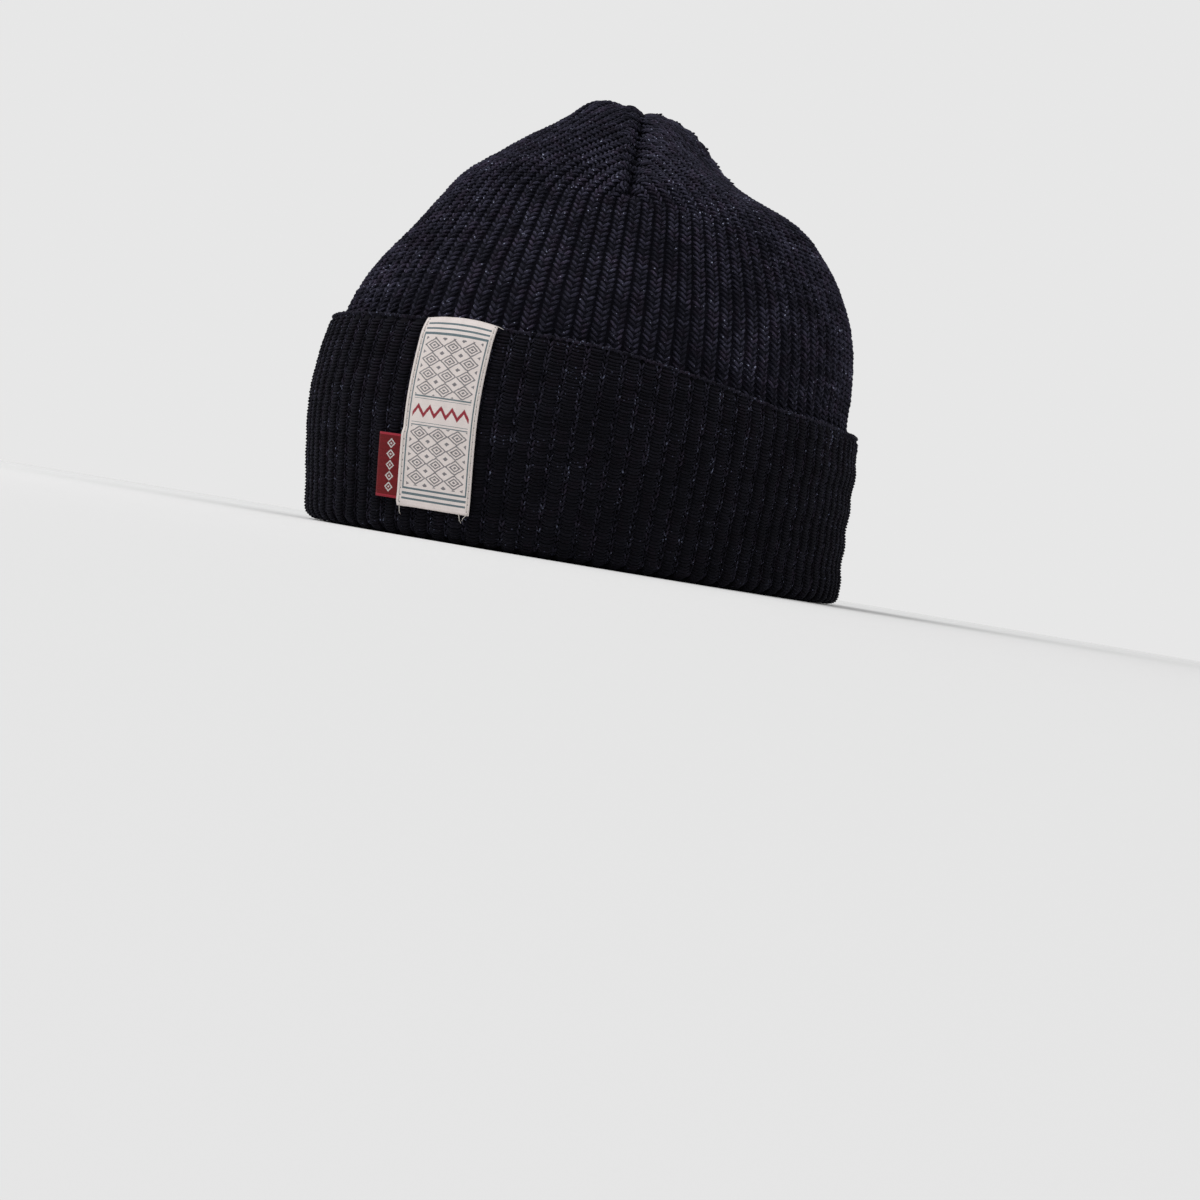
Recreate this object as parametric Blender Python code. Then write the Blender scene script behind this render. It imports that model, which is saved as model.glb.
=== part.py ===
"""A ribbed knitted beanie with a turned-up cuff, a woven label and a small side tab.

Metres, +Z up. The front is -Y. The hat stands on the fold of its cuff, and the origin is in the
middle of that resting face. A turn is a share of the way round the oval, 0 at the front and growing
towards +X. An arc is a length along the knit, from the crown's lower edge up to its tip.
"""

import math
from collections import namedtuple

import bmesh
import bpy
import numpy as np
from mathutils import Vector

# The whole hat
WIDTH = 0.171
LENGTH = 0.2075
TIP_HEIGHT = 0.160
LAYER_GAP = 0.0003

# The knit
CROWN_WALL = 0.0026
CUFF_WALL = 0.0028
RIB_DEPTH = 0.0012
RIBS_PER_GORE = 25

# The crown's darts
GORES = 4
FIRST_DART_AZIMUTH = 48.0
DART_LENGTH = 0.083
SEAM_DEPTH = 0.0016
SEAM_REACH = 0.006
SEAM_ONSET = 0.25
GORE_FLATTENING = 0.0012

# The turned-up cuff
CUFF_HEIGHT = 0.068
CUFF_GAPE = 0.0012
SWELL_START = 0.012
FOLD_THICKNESS = 0.0025
FOLD_ROUND = 0.0022
EDGE_ROUND = 0.0009

# The woven label, centred on its azimuth
LABEL_WIDTH = 0.0235
LABEL_THICKNESS = 0.001
LABEL_AZIMUTH = 20.8
LABEL_LEAN = 0.9
LABEL_FOOT = 0.0088
LABEL_OVER_EDGE = 0.0008

# The folded tab beside the label
TAB_REACH = 0.0085
TAB_LENGTH = 0.0195
TAB_THICKNESS = 0.0014
TAB_ABOVE_LABEL_FOOT = 0.0018

# How finely the solids are faceted
CROWN_BANDS = 4
DART_BANDS = 7
CROWN_INNER_COLUMNS = 14
CUFF_INNER_COLUMNS = 28
PATCH_COLUMNS = 6
PATCH_ROWS = 10
PROFILE_STEPS = 16
OVAL_STEPS = 720
SLOPE_STEP = 0.001
SHARP_ANGLE = 30.0
MERGE_DISTANCE = 1e-6

# height: share of the way from the crown's lower edge to its tip
# girth: share of the crown's own half width and half length
Section = namedtuple("Section", "name height girth")
CROWN_SECTIONS = (
    Section("lower edge", 0.000, 0.955),
    Section("belly", 0.237, 1.000),
    Section("cuff top", 0.415, 0.957),
    Section("side", 0.529, 0.905),
    Section("dart foot", 0.631, 0.824),
    Section("shoulder foot", 0.707, 0.757),
    Section("shoulder", 0.777, 0.670),
    Section("slope foot", 0.841, 0.517),
    Section("slope", 0.907, 0.360),
    Section("slope top", 0.971, 0.196),
    Section("tip", 1.000, 0.000),
)

# azimuth and spread: degrees round the hat
# up and reach: shares of the knit's length from the lower edge to the tip
# rise: share of the crown's wall, outwards
Swell = namedtuple("Swell", "name azimuth spread up reach rise")
SWELLS = (
    Swell("ridge on the front dart", -42.0, 42.0, 0.925, 0.050, 2.3),
    Swell("slack front shoulder", -42.0, 45.0, 0.580, 0.145, -2.7),
    Swell("hollow behind the tip", 138.0, 50.0, 0.830, 0.080, -1.3),
    Swell("full back side", 138.0, 45.0, 0.500, 0.140, 2.3),
)

# Rows of faces up the cuff's outside, as shares of its height
CUFF_SIDE_SHARES = (0.28, 0.54, 0.80)

# How high the cuff is turned up round the hat: a share of its height at each azimuth, in degrees
CuffTurn = namedtuple("CuffTurn", "azimuth height")
CUFF_TURNS = (
    CuffTurn(-45.0, 1.000),
    CuffTurn(10.0, 0.980),
    CuffTurn(48.0, 0.970),
    CuffTurn(66.0, 0.930),
    CuffTurn(93.0, 0.865),
    CuffTurn(125.0, 0.860),
    CuffTurn(180.0, 0.900),
    CuffTurn(240.0, 0.970),
)

# A closed cuff row: its height, its offset from the crown's outside, and how it is faceted
CuffRing = namedtuple("CuffRing", "height offset ribbed coarse")

CROWN_HALF_WIDTH = WIDTH / 2 - CUFF_WALL - LAYER_GAP
CROWN_HALF_LENGTH = LENGTH / 2 - CUFF_WALL - LAYER_GAP
CROWN_FOOT = FOLD_THICKNESS + LAYER_GAP

# Each rib is two columns of faces, from a valley up to its top and down to the next valley
RIB_COLUMNS = 2 * RIBS_PER_GORE


def clear_scene():
    for old in list(bpy.data.objects):
        bpy.data.objects.remove(old, do_unlink=True)


def measured_oval():
    """Angles round the crown's oval, the share of the way round at each, and the full way round."""
    angles = np.linspace(0.0, 2 * math.pi, OVAL_STEPS + 1)
    x = CROWN_HALF_WIDTH * np.sin(angles)
    y = -CROWN_HALF_LENGTH * np.cos(angles)
    ways = np.concatenate(([0.0], np.cumsum(np.hypot(np.diff(x), np.diff(y)))))
    return angles, ways / ways[-1], ways[-1]


OVAL_ANGLES, OVAL_SHARES, OVAL_PERIMETER = measured_oval()


def oval_angle(turn):
    return float(np.interp(turn % 1.0, OVAL_SHARES, OVAL_ANGLES))


def turn_at(azimuth):
    """The turn that is seen from above at this azimuth, in degrees."""
    across = math.sin(math.radians(azimuth)) / CROWN_HALF_WIDTH
    along = math.cos(math.radians(azimuth)) / CROWN_HALF_LENGTH
    angle = math.atan2(across, along) % (2 * math.pi)
    return float(np.interp(angle, OVAL_ANGLES, OVAL_SHARES))


def curve_through(before, start, end, after, share):
    """A point on a smooth curve from start to end, which heads on from before and towards after."""
    square = share * share
    cube = square * share
    return 0.5 * (
        2 * start
        + (end - before) * share
        + (2 * before - 5 * start + 4 * end - after) * square
        + (3 * start - before - 3 * end + after) * cube
    )


def measured_profile():
    """The crown's side profile as heights and girths, with the arc at each."""
    knots = [Vector((s.girth, CROWN_FOOT + s.height * (TIP_HEIGHT - CROWN_FOOT))) for s in CROWN_SECTIONS]
    past_tip = Vector((-knots[-2].x, knots[-2].y))
    knots = [2 * knots[0] - knots[1]] + knots + [past_tip]
    points = []
    for index in range(1, len(knots) - 2):
        for step in range(PROFILE_STEPS):
            points.append(curve_through(*knots[index - 1 : index + 3], step / PROFILE_STEPS))
    points.append(knots[-2])
    girths = np.array([point.x for point in points])
    heights = np.array([point.y for point in points])
    mean_half = (CROWN_HALF_WIDTH + CROWN_HALF_LENGTH) / 2
    steps = np.hypot(np.diff(girths) * mean_half, np.diff(heights))
    return heights, girths, np.concatenate(([0.0], np.cumsum(steps)))


HEIGHTS, GIRTHS, ARCS = measured_profile()
FULL_ARC = float(ARCS[-1])
FIRST_DART_TURN = turn_at(FIRST_DART_AZIMUTH)


def height_at(arc):
    return float(np.interp(arc, ARCS, HEIGHTS))


def girth_at(arc):
    return float(np.interp(arc, ARCS, GIRTHS))


def arc_at(height):
    return float(np.interp(height, HEIGHTS, ARCS))


def knit_left(arc):
    """The share of each gore that its darts have left: 1 below them, 0 at the tip."""
    return min(1.0, (FULL_ARC - arc) / DART_LENGTH)


def on_knit(column, arc):
    """Where a rib is at this arc. column is -1 to 1 across the gore, and each rib stops at its dart."""
    left = knit_left(arc)
    if abs(column) <= left:
        return (column / left if left > 0 else 0.0), arc
    return math.copysign(1.0, column), FULL_ARC - DART_LENGTH * abs(column)


def cuff_top(turn):
    """How high the cuff is turned up here."""
    turns = [turn_at(row.azimuth) for row in CUFF_TURNS]
    return CUFF_HEIGHT * float(np.interp(turn, turns, [row.height for row in CUFF_TURNS], period=1.0))


def bell(distance, reach):
    return math.exp(-((distance / reach) ** 2))


def hump(share):
    """1 half way along, 0 at both ends."""
    return 4.0 * share * (1.0 - share)


def shape_rise(turn, across, arc):
    """How far the knit stands out from its plain oval: seams dip, gores flatten, and soft swells rise."""
    shown = min(1.0, max(0.0, (height_at(arc) - cuff_top(turn)) / SWELL_START))
    taken = 1.0 - knit_left(arc)
    gore_half = OVAL_PERIMETER * girth_at(arc) / GORES / 2
    from_seam = (1.0 - abs(across)) * gore_half
    rise = -SEAM_DEPTH * bell(from_seam, SEAM_REACH) * min(1.0, taken / SEAM_ONSET)
    rise -= GORE_FLATTENING * hump(taken) * math.cos(math.pi * across)
    for swell in SWELLS:
        apart = (turn - turn_at(swell.azimuth) + 0.5) % 1.0 - 0.5
        round_share = bell(apart * 360.0, swell.spread)
        rise += shown * swell.rise * CROWN_WALL * round_share * bell(arc / FULL_ARC - swell.up, swell.reach)
    return rise


def oval_point(angle, girth, height):
    x = CROWN_HALF_WIDTH * girth * math.sin(angle)
    y = -CROWN_HALF_LENGTH * girth * math.cos(angle)
    return Vector((x, y, height))


def crown_point(gore, column, arc, inset):
    """A point of the crown, inset from the tops of its ribs."""
    across, arc = on_knit(column, arc)
    girth = girth_at(arc)
    if girth < MERGE_DISTANCE:
        return Vector((0.0, 0.0, TIP_HEIGHT - SEAM_DEPTH - inset))
    turn = FIRST_DART_TURN + (gore + 0.5 + across / 2) / GORES
    angle = oval_angle(turn)
    widening = girth_at(arc + SLOPE_STEP) - girth_at(arc - SLOPE_STEP)
    climb = height_at(arc + SLOPE_STEP) - height_at(arc - SLOPE_STEP)
    normal = Vector((
        climb * CROWN_HALF_LENGTH * math.sin(angle),
        -climb * CROWN_HALF_WIDTH * math.cos(angle),
        -widening * CROWN_HALF_WIDTH * CROWN_HALF_LENGTH,
    )).normalized()
    return oval_point(angle, girth, height_at(arc)) + normal * (shape_rise(turn, across, arc) - inset)


def knit_grid(bm, columns, rows, place):
    """Lays a grid of faces and puts each of its corners at place(column, row)."""
    grid = bmesh.ops.create_grid(bm, x_segments=columns, y_segments=rows, size=1.0)
    for vertex in grid["verts"]:
        column = round((vertex.co.x + 1.0) / 2 * columns)
        row = round((vertex.co.y + 1.0) / 2 * rows)
        vertex.co = place(column, row)


def new_object(name, bm, material):
    """Closes the mesh where its corners meet, points its faces outwards and makes it an object."""
    bmesh.ops.remove_doubles(bm, verts=bm.verts, dist=MERGE_DISTANCE)
    bmesh.ops.recalc_face_normals(bm, faces=bm.faces)
    mesh = bpy.data.meshes.new(name)
    bm.to_mesh(mesh)
    bm.free()
    mesh.materials.append(material)
    mesh.shade_smooth()
    mesh.set_sharp_from_angle(angle=math.radians(SHARP_ANGLE))
    made = bpy.data.objects.new(name, mesh)
    bpy.context.scene.collection.objects.link(made)
    return made


def plain_material(name, color, roughness):
    material = bpy.data.materials.new(name)
    material.use_nodes = True
    shader = material.node_tree.nodes["Principled BSDF"]
    shader.inputs["Base Color"].default_value = (*color, 1.0)
    shader.inputs["Roughness"].default_value = roughness
    shader.inputs["Metallic"].default_value = 0.0
    return material


def crown_arcs():
    """The arcs of the crown's rows: those under the cuff, and those above, in even bands and then darts."""
    lowest_edge = CUFF_HEIGHT * min(row.height for row in CUFF_TURNS)
    ribs_from = arc_at(lowest_edge - 2 * EDGE_ROUND)
    darts_from = FULL_ARC - DART_LENGTH
    covered = [0.0, arc_at(CUFF_HEIGHT / 2), ribs_from]
    shown = [ribs_from + (darts_from - ribs_from) * (band + 1) / CROWN_BANDS for band in range(CROWN_BANDS)]
    shown += [darts_from + DART_LENGTH * (band + 1) / DART_BANDS for band in range(DART_BANDS)]
    return covered, shown


def snapped(share, steps):
    """The nearest of so many even steps across, so that a coarse face spans several ribs."""
    return round(share * steps) / steps


def build_crown(material):
    covered, shown = crown_arcs()
    arcs = covered + shown
    bm = bmesh.new()
    for gore in range(GORES):

        def outside(column, row, gore=gore):
            valley = column % 2 == 0 and row >= len(covered)
            share = 2 * column / RIB_COLUMNS - 1.0
            return crown_point(gore, share, arcs[row], RIB_DEPTH if valley else 0.0)

        def inside(column, row, gore=gore):
            if row == len(arcs):
                return outside(column, 0)
            share = snapped(2 * column / RIB_COLUMNS - 1.0, CROWN_INNER_COLUMNS // 2)
            point = crown_point(gore, share, arcs[-1 - row], CROWN_WALL)
            if row == len(arcs) - 1:
                point.z = CROWN_FOOT
            return point

        knit_grid(bm, RIB_COLUMNS, len(arcs) - 1, outside)
        knit_grid(bm, RIB_COLUMNS, len(arcs), inside)
    return new_object("crown", bm, material)


def cuff_inside(share):
    """How far the cuff's inside stands off the crown at a share of its height: its edge gapes a little."""
    return LAYER_GAP + CUFF_GAPE * min(1.0, share) ** 4


def girth_beside(height):
    """The crown's girth at this height, or at its lower edge below that."""
    return girth_at(arc_at(max(height, CROWN_FOOT)))


def cuff_point(turn, height, offset):
    """A point beside the crown's oval at this height, offset straight outwards."""
    angle = oval_angle(turn)
    outwards = Vector((CROWN_HALF_LENGTH * math.sin(angle), -CROWN_HALF_WIDTH * math.cos(angle), 0.0))
    return oval_point(angle, girth_beside(height), height) + outwards.normalized() * offset


def cuff_rings(top):
    """The cuff's closed section: up its outside, over its edge, down its inside and under the crown."""
    edge_side = cuff_inside(1.0) + CUFF_WALL
    fold_side = cuff_inside(0.0) + CUFF_WALL
    shown = [
        CuffRing(FOLD_ROUND * 0.3, fold_side - FOLD_ROUND * 0.3, True, False),
        CuffRing(FOLD_ROUND, fold_side, True, False),
    ]
    for share in CUFF_SIDE_SHARES:
        shown.append(CuffRing(share * top, cuff_inside(share) + CUFF_WALL, True, False))
    shown.append(CuffRing(top - EDGE_ROUND, edge_side, True, False))
    shown.append(CuffRing(top, edge_side - EDGE_ROUND, False, True))
    hidden = [
        CuffRing(top, cuff_inside(1.0), False, True),
        CuffRing(CUFF_HEIGHT / 2, cuff_inside(0.5), False, True),
        CuffRing(FOLD_THICKNESS, cuff_inside(0.0), False, True),
        CuffRing(FOLD_THICKNESS, -CROWN_WALL, False, True),
        CuffRing(0.0, -CROWN_WALL, False, True),
        CuffRing(0.0, fold_side - FOLD_ROUND, False, True),
    ]
    return shown + hidden


def build_cuff(material):
    columns = GORES * RIB_COLUMNS
    rows = len(cuff_rings(CUFF_HEIGHT))

    def place(column, row):
        coarse = cuff_rings(CUFF_HEIGHT)[row % rows].coarse
        share = snapped(column / columns, GORES * CUFF_INNER_COLUMNS) if coarse else column / columns
        turn = FIRST_DART_TURN + share
        ring = cuff_rings(cuff_top(turn))[row % rows]
        valley = ring.ribbed and column % 2 == 0
        return cuff_point(turn, ring.height, ring.offset - (RIB_DEPTH if valley else 0.0))

    bm = bmesh.new()
    knit_grid(bm, columns, rows, place)
    return new_object("cuff", bm, material)


def patch_on_cuff(name, left, right, low, high, thickness, material):
    """A flat piece sewn on the cuff, between two distances from the label's centre line and two heights."""
    label_turn = turn_at(LABEL_AZIMUTH)
    lean = math.tan(math.radians(LABEL_LEAN))
    bm = bmesh.new()

    def place(column, row):
        height = low + (high - low) * row / PATCH_ROWS
        offset = cuff_inside(height / cuff_top(label_turn)) + CUFF_WALL + LAYER_GAP
        way_round = OVAL_PERIMETER * girth_beside(height) + 2 * math.pi * offset
        across = left + (right - left) * column / PATCH_COLUMNS - lean * (height - cuff_top(label_turn) / 2)
        return cuff_point(label_turn + across / way_round, height, offset)

    knit_grid(bm, PATCH_COLUMNS, PATCH_ROWS, place)
    patch = new_object(name, bm, material)
    wall = patch.modifiers.new("Wall", "SOLIDIFY")
    wall.thickness = thickness
    wall.offset = 1.0
    wall.use_even_offset = True
    return patch


def build_label(material):
    high = cuff_top(turn_at(LABEL_AZIMUTH)) + LABEL_OVER_EDGE
    side = LABEL_WIDTH / 2
    return patch_on_cuff("woven_label", -side, side, LABEL_FOOT, high, LABEL_THICKNESS, material)


def build_tab(material):
    right = -LABEL_WIDTH / 2 - LAYER_GAP
    low = LABEL_FOOT + TAB_ABOVE_LABEL_FOOT
    return patch_on_cuff("side_tab", right - TAB_REACH, right, low, low + TAB_LENGTH, TAB_THICKNESS, material)


def build_beanie():
    clear_scene()
    build_crown(plain_material("crown_knit", (0.012, 0.012, 0.018), 0.95))
    build_cuff(plain_material("cuff_knit", (0.008, 0.008, 0.011), 0.95))
    build_label(plain_material("label_weave", (0.72, 0.68, 0.62), 0.85))
    build_tab(plain_material("tab_weave", (0.32, 0.02, 0.03), 0.8))


build_beanie()
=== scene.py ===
"""A ribbed knitted beanie: its ribs of stitches, its turned-up cuff, its woven label and its side tab.

Metres, +Z up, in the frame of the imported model: the front is -Y and the hat stands on the fold of its
cuff. A turn is a share of the way round the oval, 0 at the front and growing towards +X. An arc is a
length along the crown's knit, from its lower edge up to its tip.
"""

import functools
import math
from collections import namedtuple

import bmesh
import bpy
import numpy as np
from mathutils import Matrix, Vector


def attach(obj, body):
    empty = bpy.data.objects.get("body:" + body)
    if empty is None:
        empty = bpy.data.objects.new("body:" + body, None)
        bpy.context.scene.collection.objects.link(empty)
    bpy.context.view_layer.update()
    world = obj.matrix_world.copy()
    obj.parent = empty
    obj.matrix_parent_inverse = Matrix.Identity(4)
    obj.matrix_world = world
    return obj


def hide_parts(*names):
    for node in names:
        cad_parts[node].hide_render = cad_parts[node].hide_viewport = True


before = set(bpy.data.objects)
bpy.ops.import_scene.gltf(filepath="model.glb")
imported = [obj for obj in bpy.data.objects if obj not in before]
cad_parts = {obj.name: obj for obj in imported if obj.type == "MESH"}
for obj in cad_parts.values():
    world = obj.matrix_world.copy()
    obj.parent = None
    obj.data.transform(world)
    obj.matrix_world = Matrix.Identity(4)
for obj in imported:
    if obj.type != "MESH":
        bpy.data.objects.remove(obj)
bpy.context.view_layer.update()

# The whole hat, as the solids have it
WIDTH = 0.171
LENGTH = 0.2075
TIP_HEIGHT = 0.160
LAYER_GAP = 0.0003

# The knit
CROWN_WALL = 0.0026
CUFF_WALL = 0.0028
RIB_DEPTH = 0.0012
RIBS_PER_GORE = 25

# The crown's darts
GORES = 4
FIRST_DART_AZIMUTH = 48.0
DART_LENGTH = 0.083
SEAM_DEPTH = 0.0016
SEAM_REACH = 0.006
SEAM_ONSET = 0.25
GORE_FLATTENING = 0.0012

# The turned-up cuff
CUFF_HEIGHT = 0.068
CUFF_GAPE = 0.0012
SWELL_START = 0.012
FOLD_THICKNESS = 0.0025
FOLD_ROLL = 0.0040

# The woven label, centred on its azimuth
LABEL_WIDTH = 0.0235
LABEL_AZIMUTH = 20.8
LABEL_LEAN = 0.9
LABEL_FOOT = 0.0088
LABEL_OVER_EDGE = 0.0008

# The folded tab beside the label
TAB_REACH = 0.0085
TAB_LENGTH = 0.0195
TAB_ABOVE_LABEL_FOOT = 0.0018

PROFILE_STEPS = 16
OVAL_STEPS = 720
SLOPE_STEP = 0.001
MERGE_DISTANCE = 1e-6

# height: share of the way from the crown's lower edge to its tip
# girth: share of the crown's own half width and half length
Section = namedtuple("Section", "name height girth")
CROWN_SECTIONS = (
    Section("lower edge", 0.000, 0.955),
    Section("belly", 0.237, 1.000),
    Section("cuff top", 0.415, 0.957),
    Section("side", 0.529, 0.905),
    Section("dart foot", 0.631, 0.824),
    Section("shoulder foot", 0.707, 0.757),
    Section("shoulder", 0.777, 0.670),
    Section("slope foot", 0.841, 0.517),
    Section("slope", 0.907, 0.360),
    Section("slope top", 0.971, 0.196),
    Section("tip", 1.000, 0.000),
)

# azimuth and spread: degrees round the hat
# up and reach: shares of the knit's length from the lower edge to the tip
# rise: share of the crown's wall, outwards
Swell = namedtuple("Swell", "name azimuth spread up reach rise")
SWELLS = (
    Swell("ridge on the front dart", -42.0, 42.0, 0.925, 0.050, 1.8),
    Swell("slack front shoulder", -42.0, 45.0, 0.580, 0.145, -2.7),
    Swell("hollow behind the tip", 138.0, 50.0, 0.790, 0.092, -1.7),
    Swell("full back side", 138.0, 45.0, 0.500, 0.140, 2.3),
)

# How high the cuff is turned up round the hat: a share of its height at each azimuth, in degrees
CuffTurn = namedtuple("CuffTurn", "azimuth height")
CUFF_TURNS = (
    CuffTurn(-45.0, 1.000),
    CuffTurn(10.0, 0.980),
    CuffTurn(48.0, 0.970),
    CuffTurn(66.0, 0.930),
    CuffTurn(93.0, 0.865),
    CuffTurn(125.0, 0.860),
    CuffTurn(180.0, 0.900),
    CuffTurn(240.0, 0.970),
)

# How deep the pinch of a dart's seam is along it: a share of SEAM_PINCH at each share of the dart taken
PinchDepth = namedtuple("PinchDepth", "taken depth")
PINCH_DEPTHS = (
    PinchDepth(0.00, 0.0),
    PinchDepth(0.04, 1.2),
    PinchDepth(0.16, 1.2),
    PinchDepth(0.30, 0.8),
    PinchDepth(0.60, 0.9),
    PinchDepth(0.85, 0.3),
    PinchDepth(1.00, 0.1),
)

CROWN_HALF_WIDTH = WIDTH / 2 - CUFF_WALL - LAYER_GAP
CROWN_HALF_LENGTH = LENGTH / 2 - CUFF_WALL - LAYER_GAP
CROWN_FOOT = FOLD_THICKNESS + LAYER_GAP

# The yarn
SEED = 7
PURL_SEED = SEED + 10
WALE_SEED = SEED + 20
EDGE_SEED = SEED + 30
THREAD_SEED = SEED + 40
COURSE = 0.0018
YARN = 0.00046
GROUND_SINK = 0.0006
RIB_SQUARENESS = 2.2
SEAM_PINCH = 0.0030
PINCH_REACH = 0.0022
SEAM_ROLL = 0.0007
SEAM_ROLL_REACH = 0.0022

# The ribs bunch into cords on the crown's slopes, and most beside its seams: how far they do, and what
# that does to their gaps and their stitches
SEAM_ROPE = 0.9
SEAM_ROPE_REACH = 0.011
SLOPE_ROPE = 0.5
SLOPE_FROM = 0.70
SLOPE_TO = 0.84
ROPE_DEEPENS = 1.1
ROPE_EVENS = 1.5
ROPE_NARROWS = 0.16
ROPE_LENGTHENS = 0.70
ROPE_FLATTENS = 0.22

# How unevenly the crown's and the cuff's stitches lie: shares of a course, a rib and the yarn, and shares
# of their own widths, lengths and heights
LEG_ALONG = 0.08
LEG_ACROSS = 0.03
LEG_DEPTH = 0.45
LEG_SIZES = (0.08, 0.12, 0.16)
CUFF_ALONG = 0.06
CUFF_DEPTH = 0.4
CUFF_SIZES = (0.06, 0.12, 0.15)
LOOP_SPREAD = 0.12

# The narrowest and widest leg of the crown, as shares of its usual width
LEG_WIDTHS = (0.55, 1.15)

# How much deeper the narrow wales sink where they go round the fold, which gives it a scalloped edge
FOLD_NOTCH = 0.0009
FOLD_NOTCH_REACH = 0.0075

# The cuff flares at the back left, and its knit waves a little away from the label
FLARE = 0.0066
FLARE_AZIMUTH = 136.0
FLARE_SPREAD = 48.0
FLARE_HEIGHT = 0.040
FLARE_CURVE = 1.4
CUFF_WAVE = 0.0004
CUFF_WAVE_PITCH = 0.0125
CUFF_WAVE_SLIDE = 2.5

# How much paler the cuff's stitches are drawn towards its free edge than at its fold, and at the very edge
# besides
CUFF_PALER_UP = 0.45
EDGE_PALER = 0.35

# The crown's stitches are painted darker low down, just above the cuff: painted shade
PAINTED_SHADE_TO = 0.088
PAINTED_SHADE_REACH = 0.020
PAINTED_SHADE_TONE = 0.25

# How far the cuff's free edge leans in, and how much further behind the label, which pulls it in
EDGE_LEAN = 0.0006
EDGE_LEAN_REACH = 0.0065
LABEL_EDGE_LEAN = 0.0013
LABEL_TOP_LEAN = 0.0003

# How far a lean or an arch still grows past the edge that it is measured from, with its reach as 1
PAST_EDGE = 1.2

# How far the crown's legs lie from the middle of their rib, and how far short of a dart they stop: shares
# of a rib and of a course
LEG_OFFSET = 0.25
LEG_SHORT = 0.2

# The cuff's cross loops and the legs in its wales
# pitch: from one row to the next
# sink: how far in from the tops of the ribs they lie
# start and end: how far they stay from the start of the cuff's outside, and from its free edge
# tones: the range of their yarn's tones
CuffKnit = namedtuple("CuffKnit", "pitch sink start end tones")
PURL_PITCH = 0.58 * COURSE
PURLS = CuffKnit(PURL_PITCH, YARN, 0.3 * PURL_PITCH, 0.8 * COURSE, (0.0, 0.9))
WALES = CuffKnit(COURSE, 1.9 * YARN, 0.5 * COURSE, 0.4 * COURSE, (-0.3, 1.3))
PURL_RADIUS = 0.85 * YARN
WALE_RADIUS = 0.8 * YARN
CUFF_STITCH_OUT = 0.8

# How near a rib's edge the legs in the wales lie, as a share of the rib
WALE_LEG = 0.085

# The loops of the cuff's free edge
LOOPS_PER_RIB = 3
LOOP_BELOW_EDGE = 0.15 * COURSE
LOOP_ALONG = 0.1
LOOP_SINK = 1.6 * YARN
LOOP_TONES = (0.3, 1.0)

# How many sides a stitch's yarn has
YARN_SIDES = 5
CUFF_YARN_SIDES = 4

# How finely the knit's ground is meshed. The cuff's back rows go behind its edge and round under its fold
RIB_COLUMNS = 4
CROWN_ROWS = 78
UNDER_CUFF_ROWS = 8
INSIDE_ROWS = 22
CUFF_ROWS = 40
CUFF_BACK_ROWS = 8

# How much of the ribs' depth shows inside the hat and under its fold
INSIDE_RIBS = 0.5

# The label's and the tab's cloth
CLOTH = 0.00045
LABEL_COLUMNS = 48
LABEL_ROWS = 96
LABEL_PRINT_THROUGH = 0.00010
LABEL_ARCH = 0.0012
LABEL_ARCH_REACH = 0.016
LABEL_ARCH_LEVEL = 0.6
TAB_UNDER_LABEL = 0.0010
TAB_OFF_CUFF = 0.00055
TAB_FOLD = 0.00032
TAB_COLUMNS = 44
TAB_ROWS = 26

# How the label lies: it lifts over the tab, curls at its lower corners and sinks at its seams
LIFT_OVER_TAB = 0.00085
LIFT_REACH = 0.0030
LIFT_RAMP = 0.0025
RIGHT_CURL = 0.0006
RIGHT_CURL_REACH = 0.0035
LEFT_CURL = 0.0003
SEAM_SINK = 0.00012
SEAM_SINK_REACH = 0.0004

# The label's sewing
SEAM_INSET = 0.0008
SEAM_STITCH = 0.0021
THREAD = 0.00013

MILLIMETRE = 0.001

# How far apart the points are that give a stitch its directions
COLUMN_STEP = 0.004
TURN_STEP = COLUMN_STEP / GORES / 2
WAY_STEP = 0.0004


def measured_oval():
    """Angles round the crown's oval, the share of the way round at each, and the full way round."""
    angles = np.linspace(0.0, 2 * math.pi, OVAL_STEPS + 1)
    x = CROWN_HALF_WIDTH * np.sin(angles)
    y = -CROWN_HALF_LENGTH * np.cos(angles)
    ways = np.concatenate(([0.0], np.cumsum(np.hypot(np.diff(x), np.diff(y)))))
    return angles, ways / ways[-1], ways[-1]


OVAL_ANGLES, OVAL_SHARES, OVAL_PERIMETER = measured_oval()


def oval_angle(turn):
    return np.interp(turn % 1.0, OVAL_SHARES, OVAL_ANGLES)


def turn_at(azimuth):
    """The turn that is seen from above at this azimuth, in degrees."""
    across = math.sin(math.radians(azimuth)) / CROWN_HALF_WIDTH
    along = math.cos(math.radians(azimuth)) / CROWN_HALF_LENGTH
    angle = math.atan2(across, along) % (2 * math.pi)
    return float(np.interp(angle, OVAL_ANGLES, OVAL_SHARES))


def curve_through(before, start, end, after, share):
    """A point on a smooth curve from start to end, which heads on from before and towards after."""
    square = share * share
    cube = square * share
    return 0.5 * (
        2 * start
        + (end - before) * share
        + (2 * before - 5 * start + 4 * end - after) * square
        + (3 * start - before - 3 * end + after) * cube
    )


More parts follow.
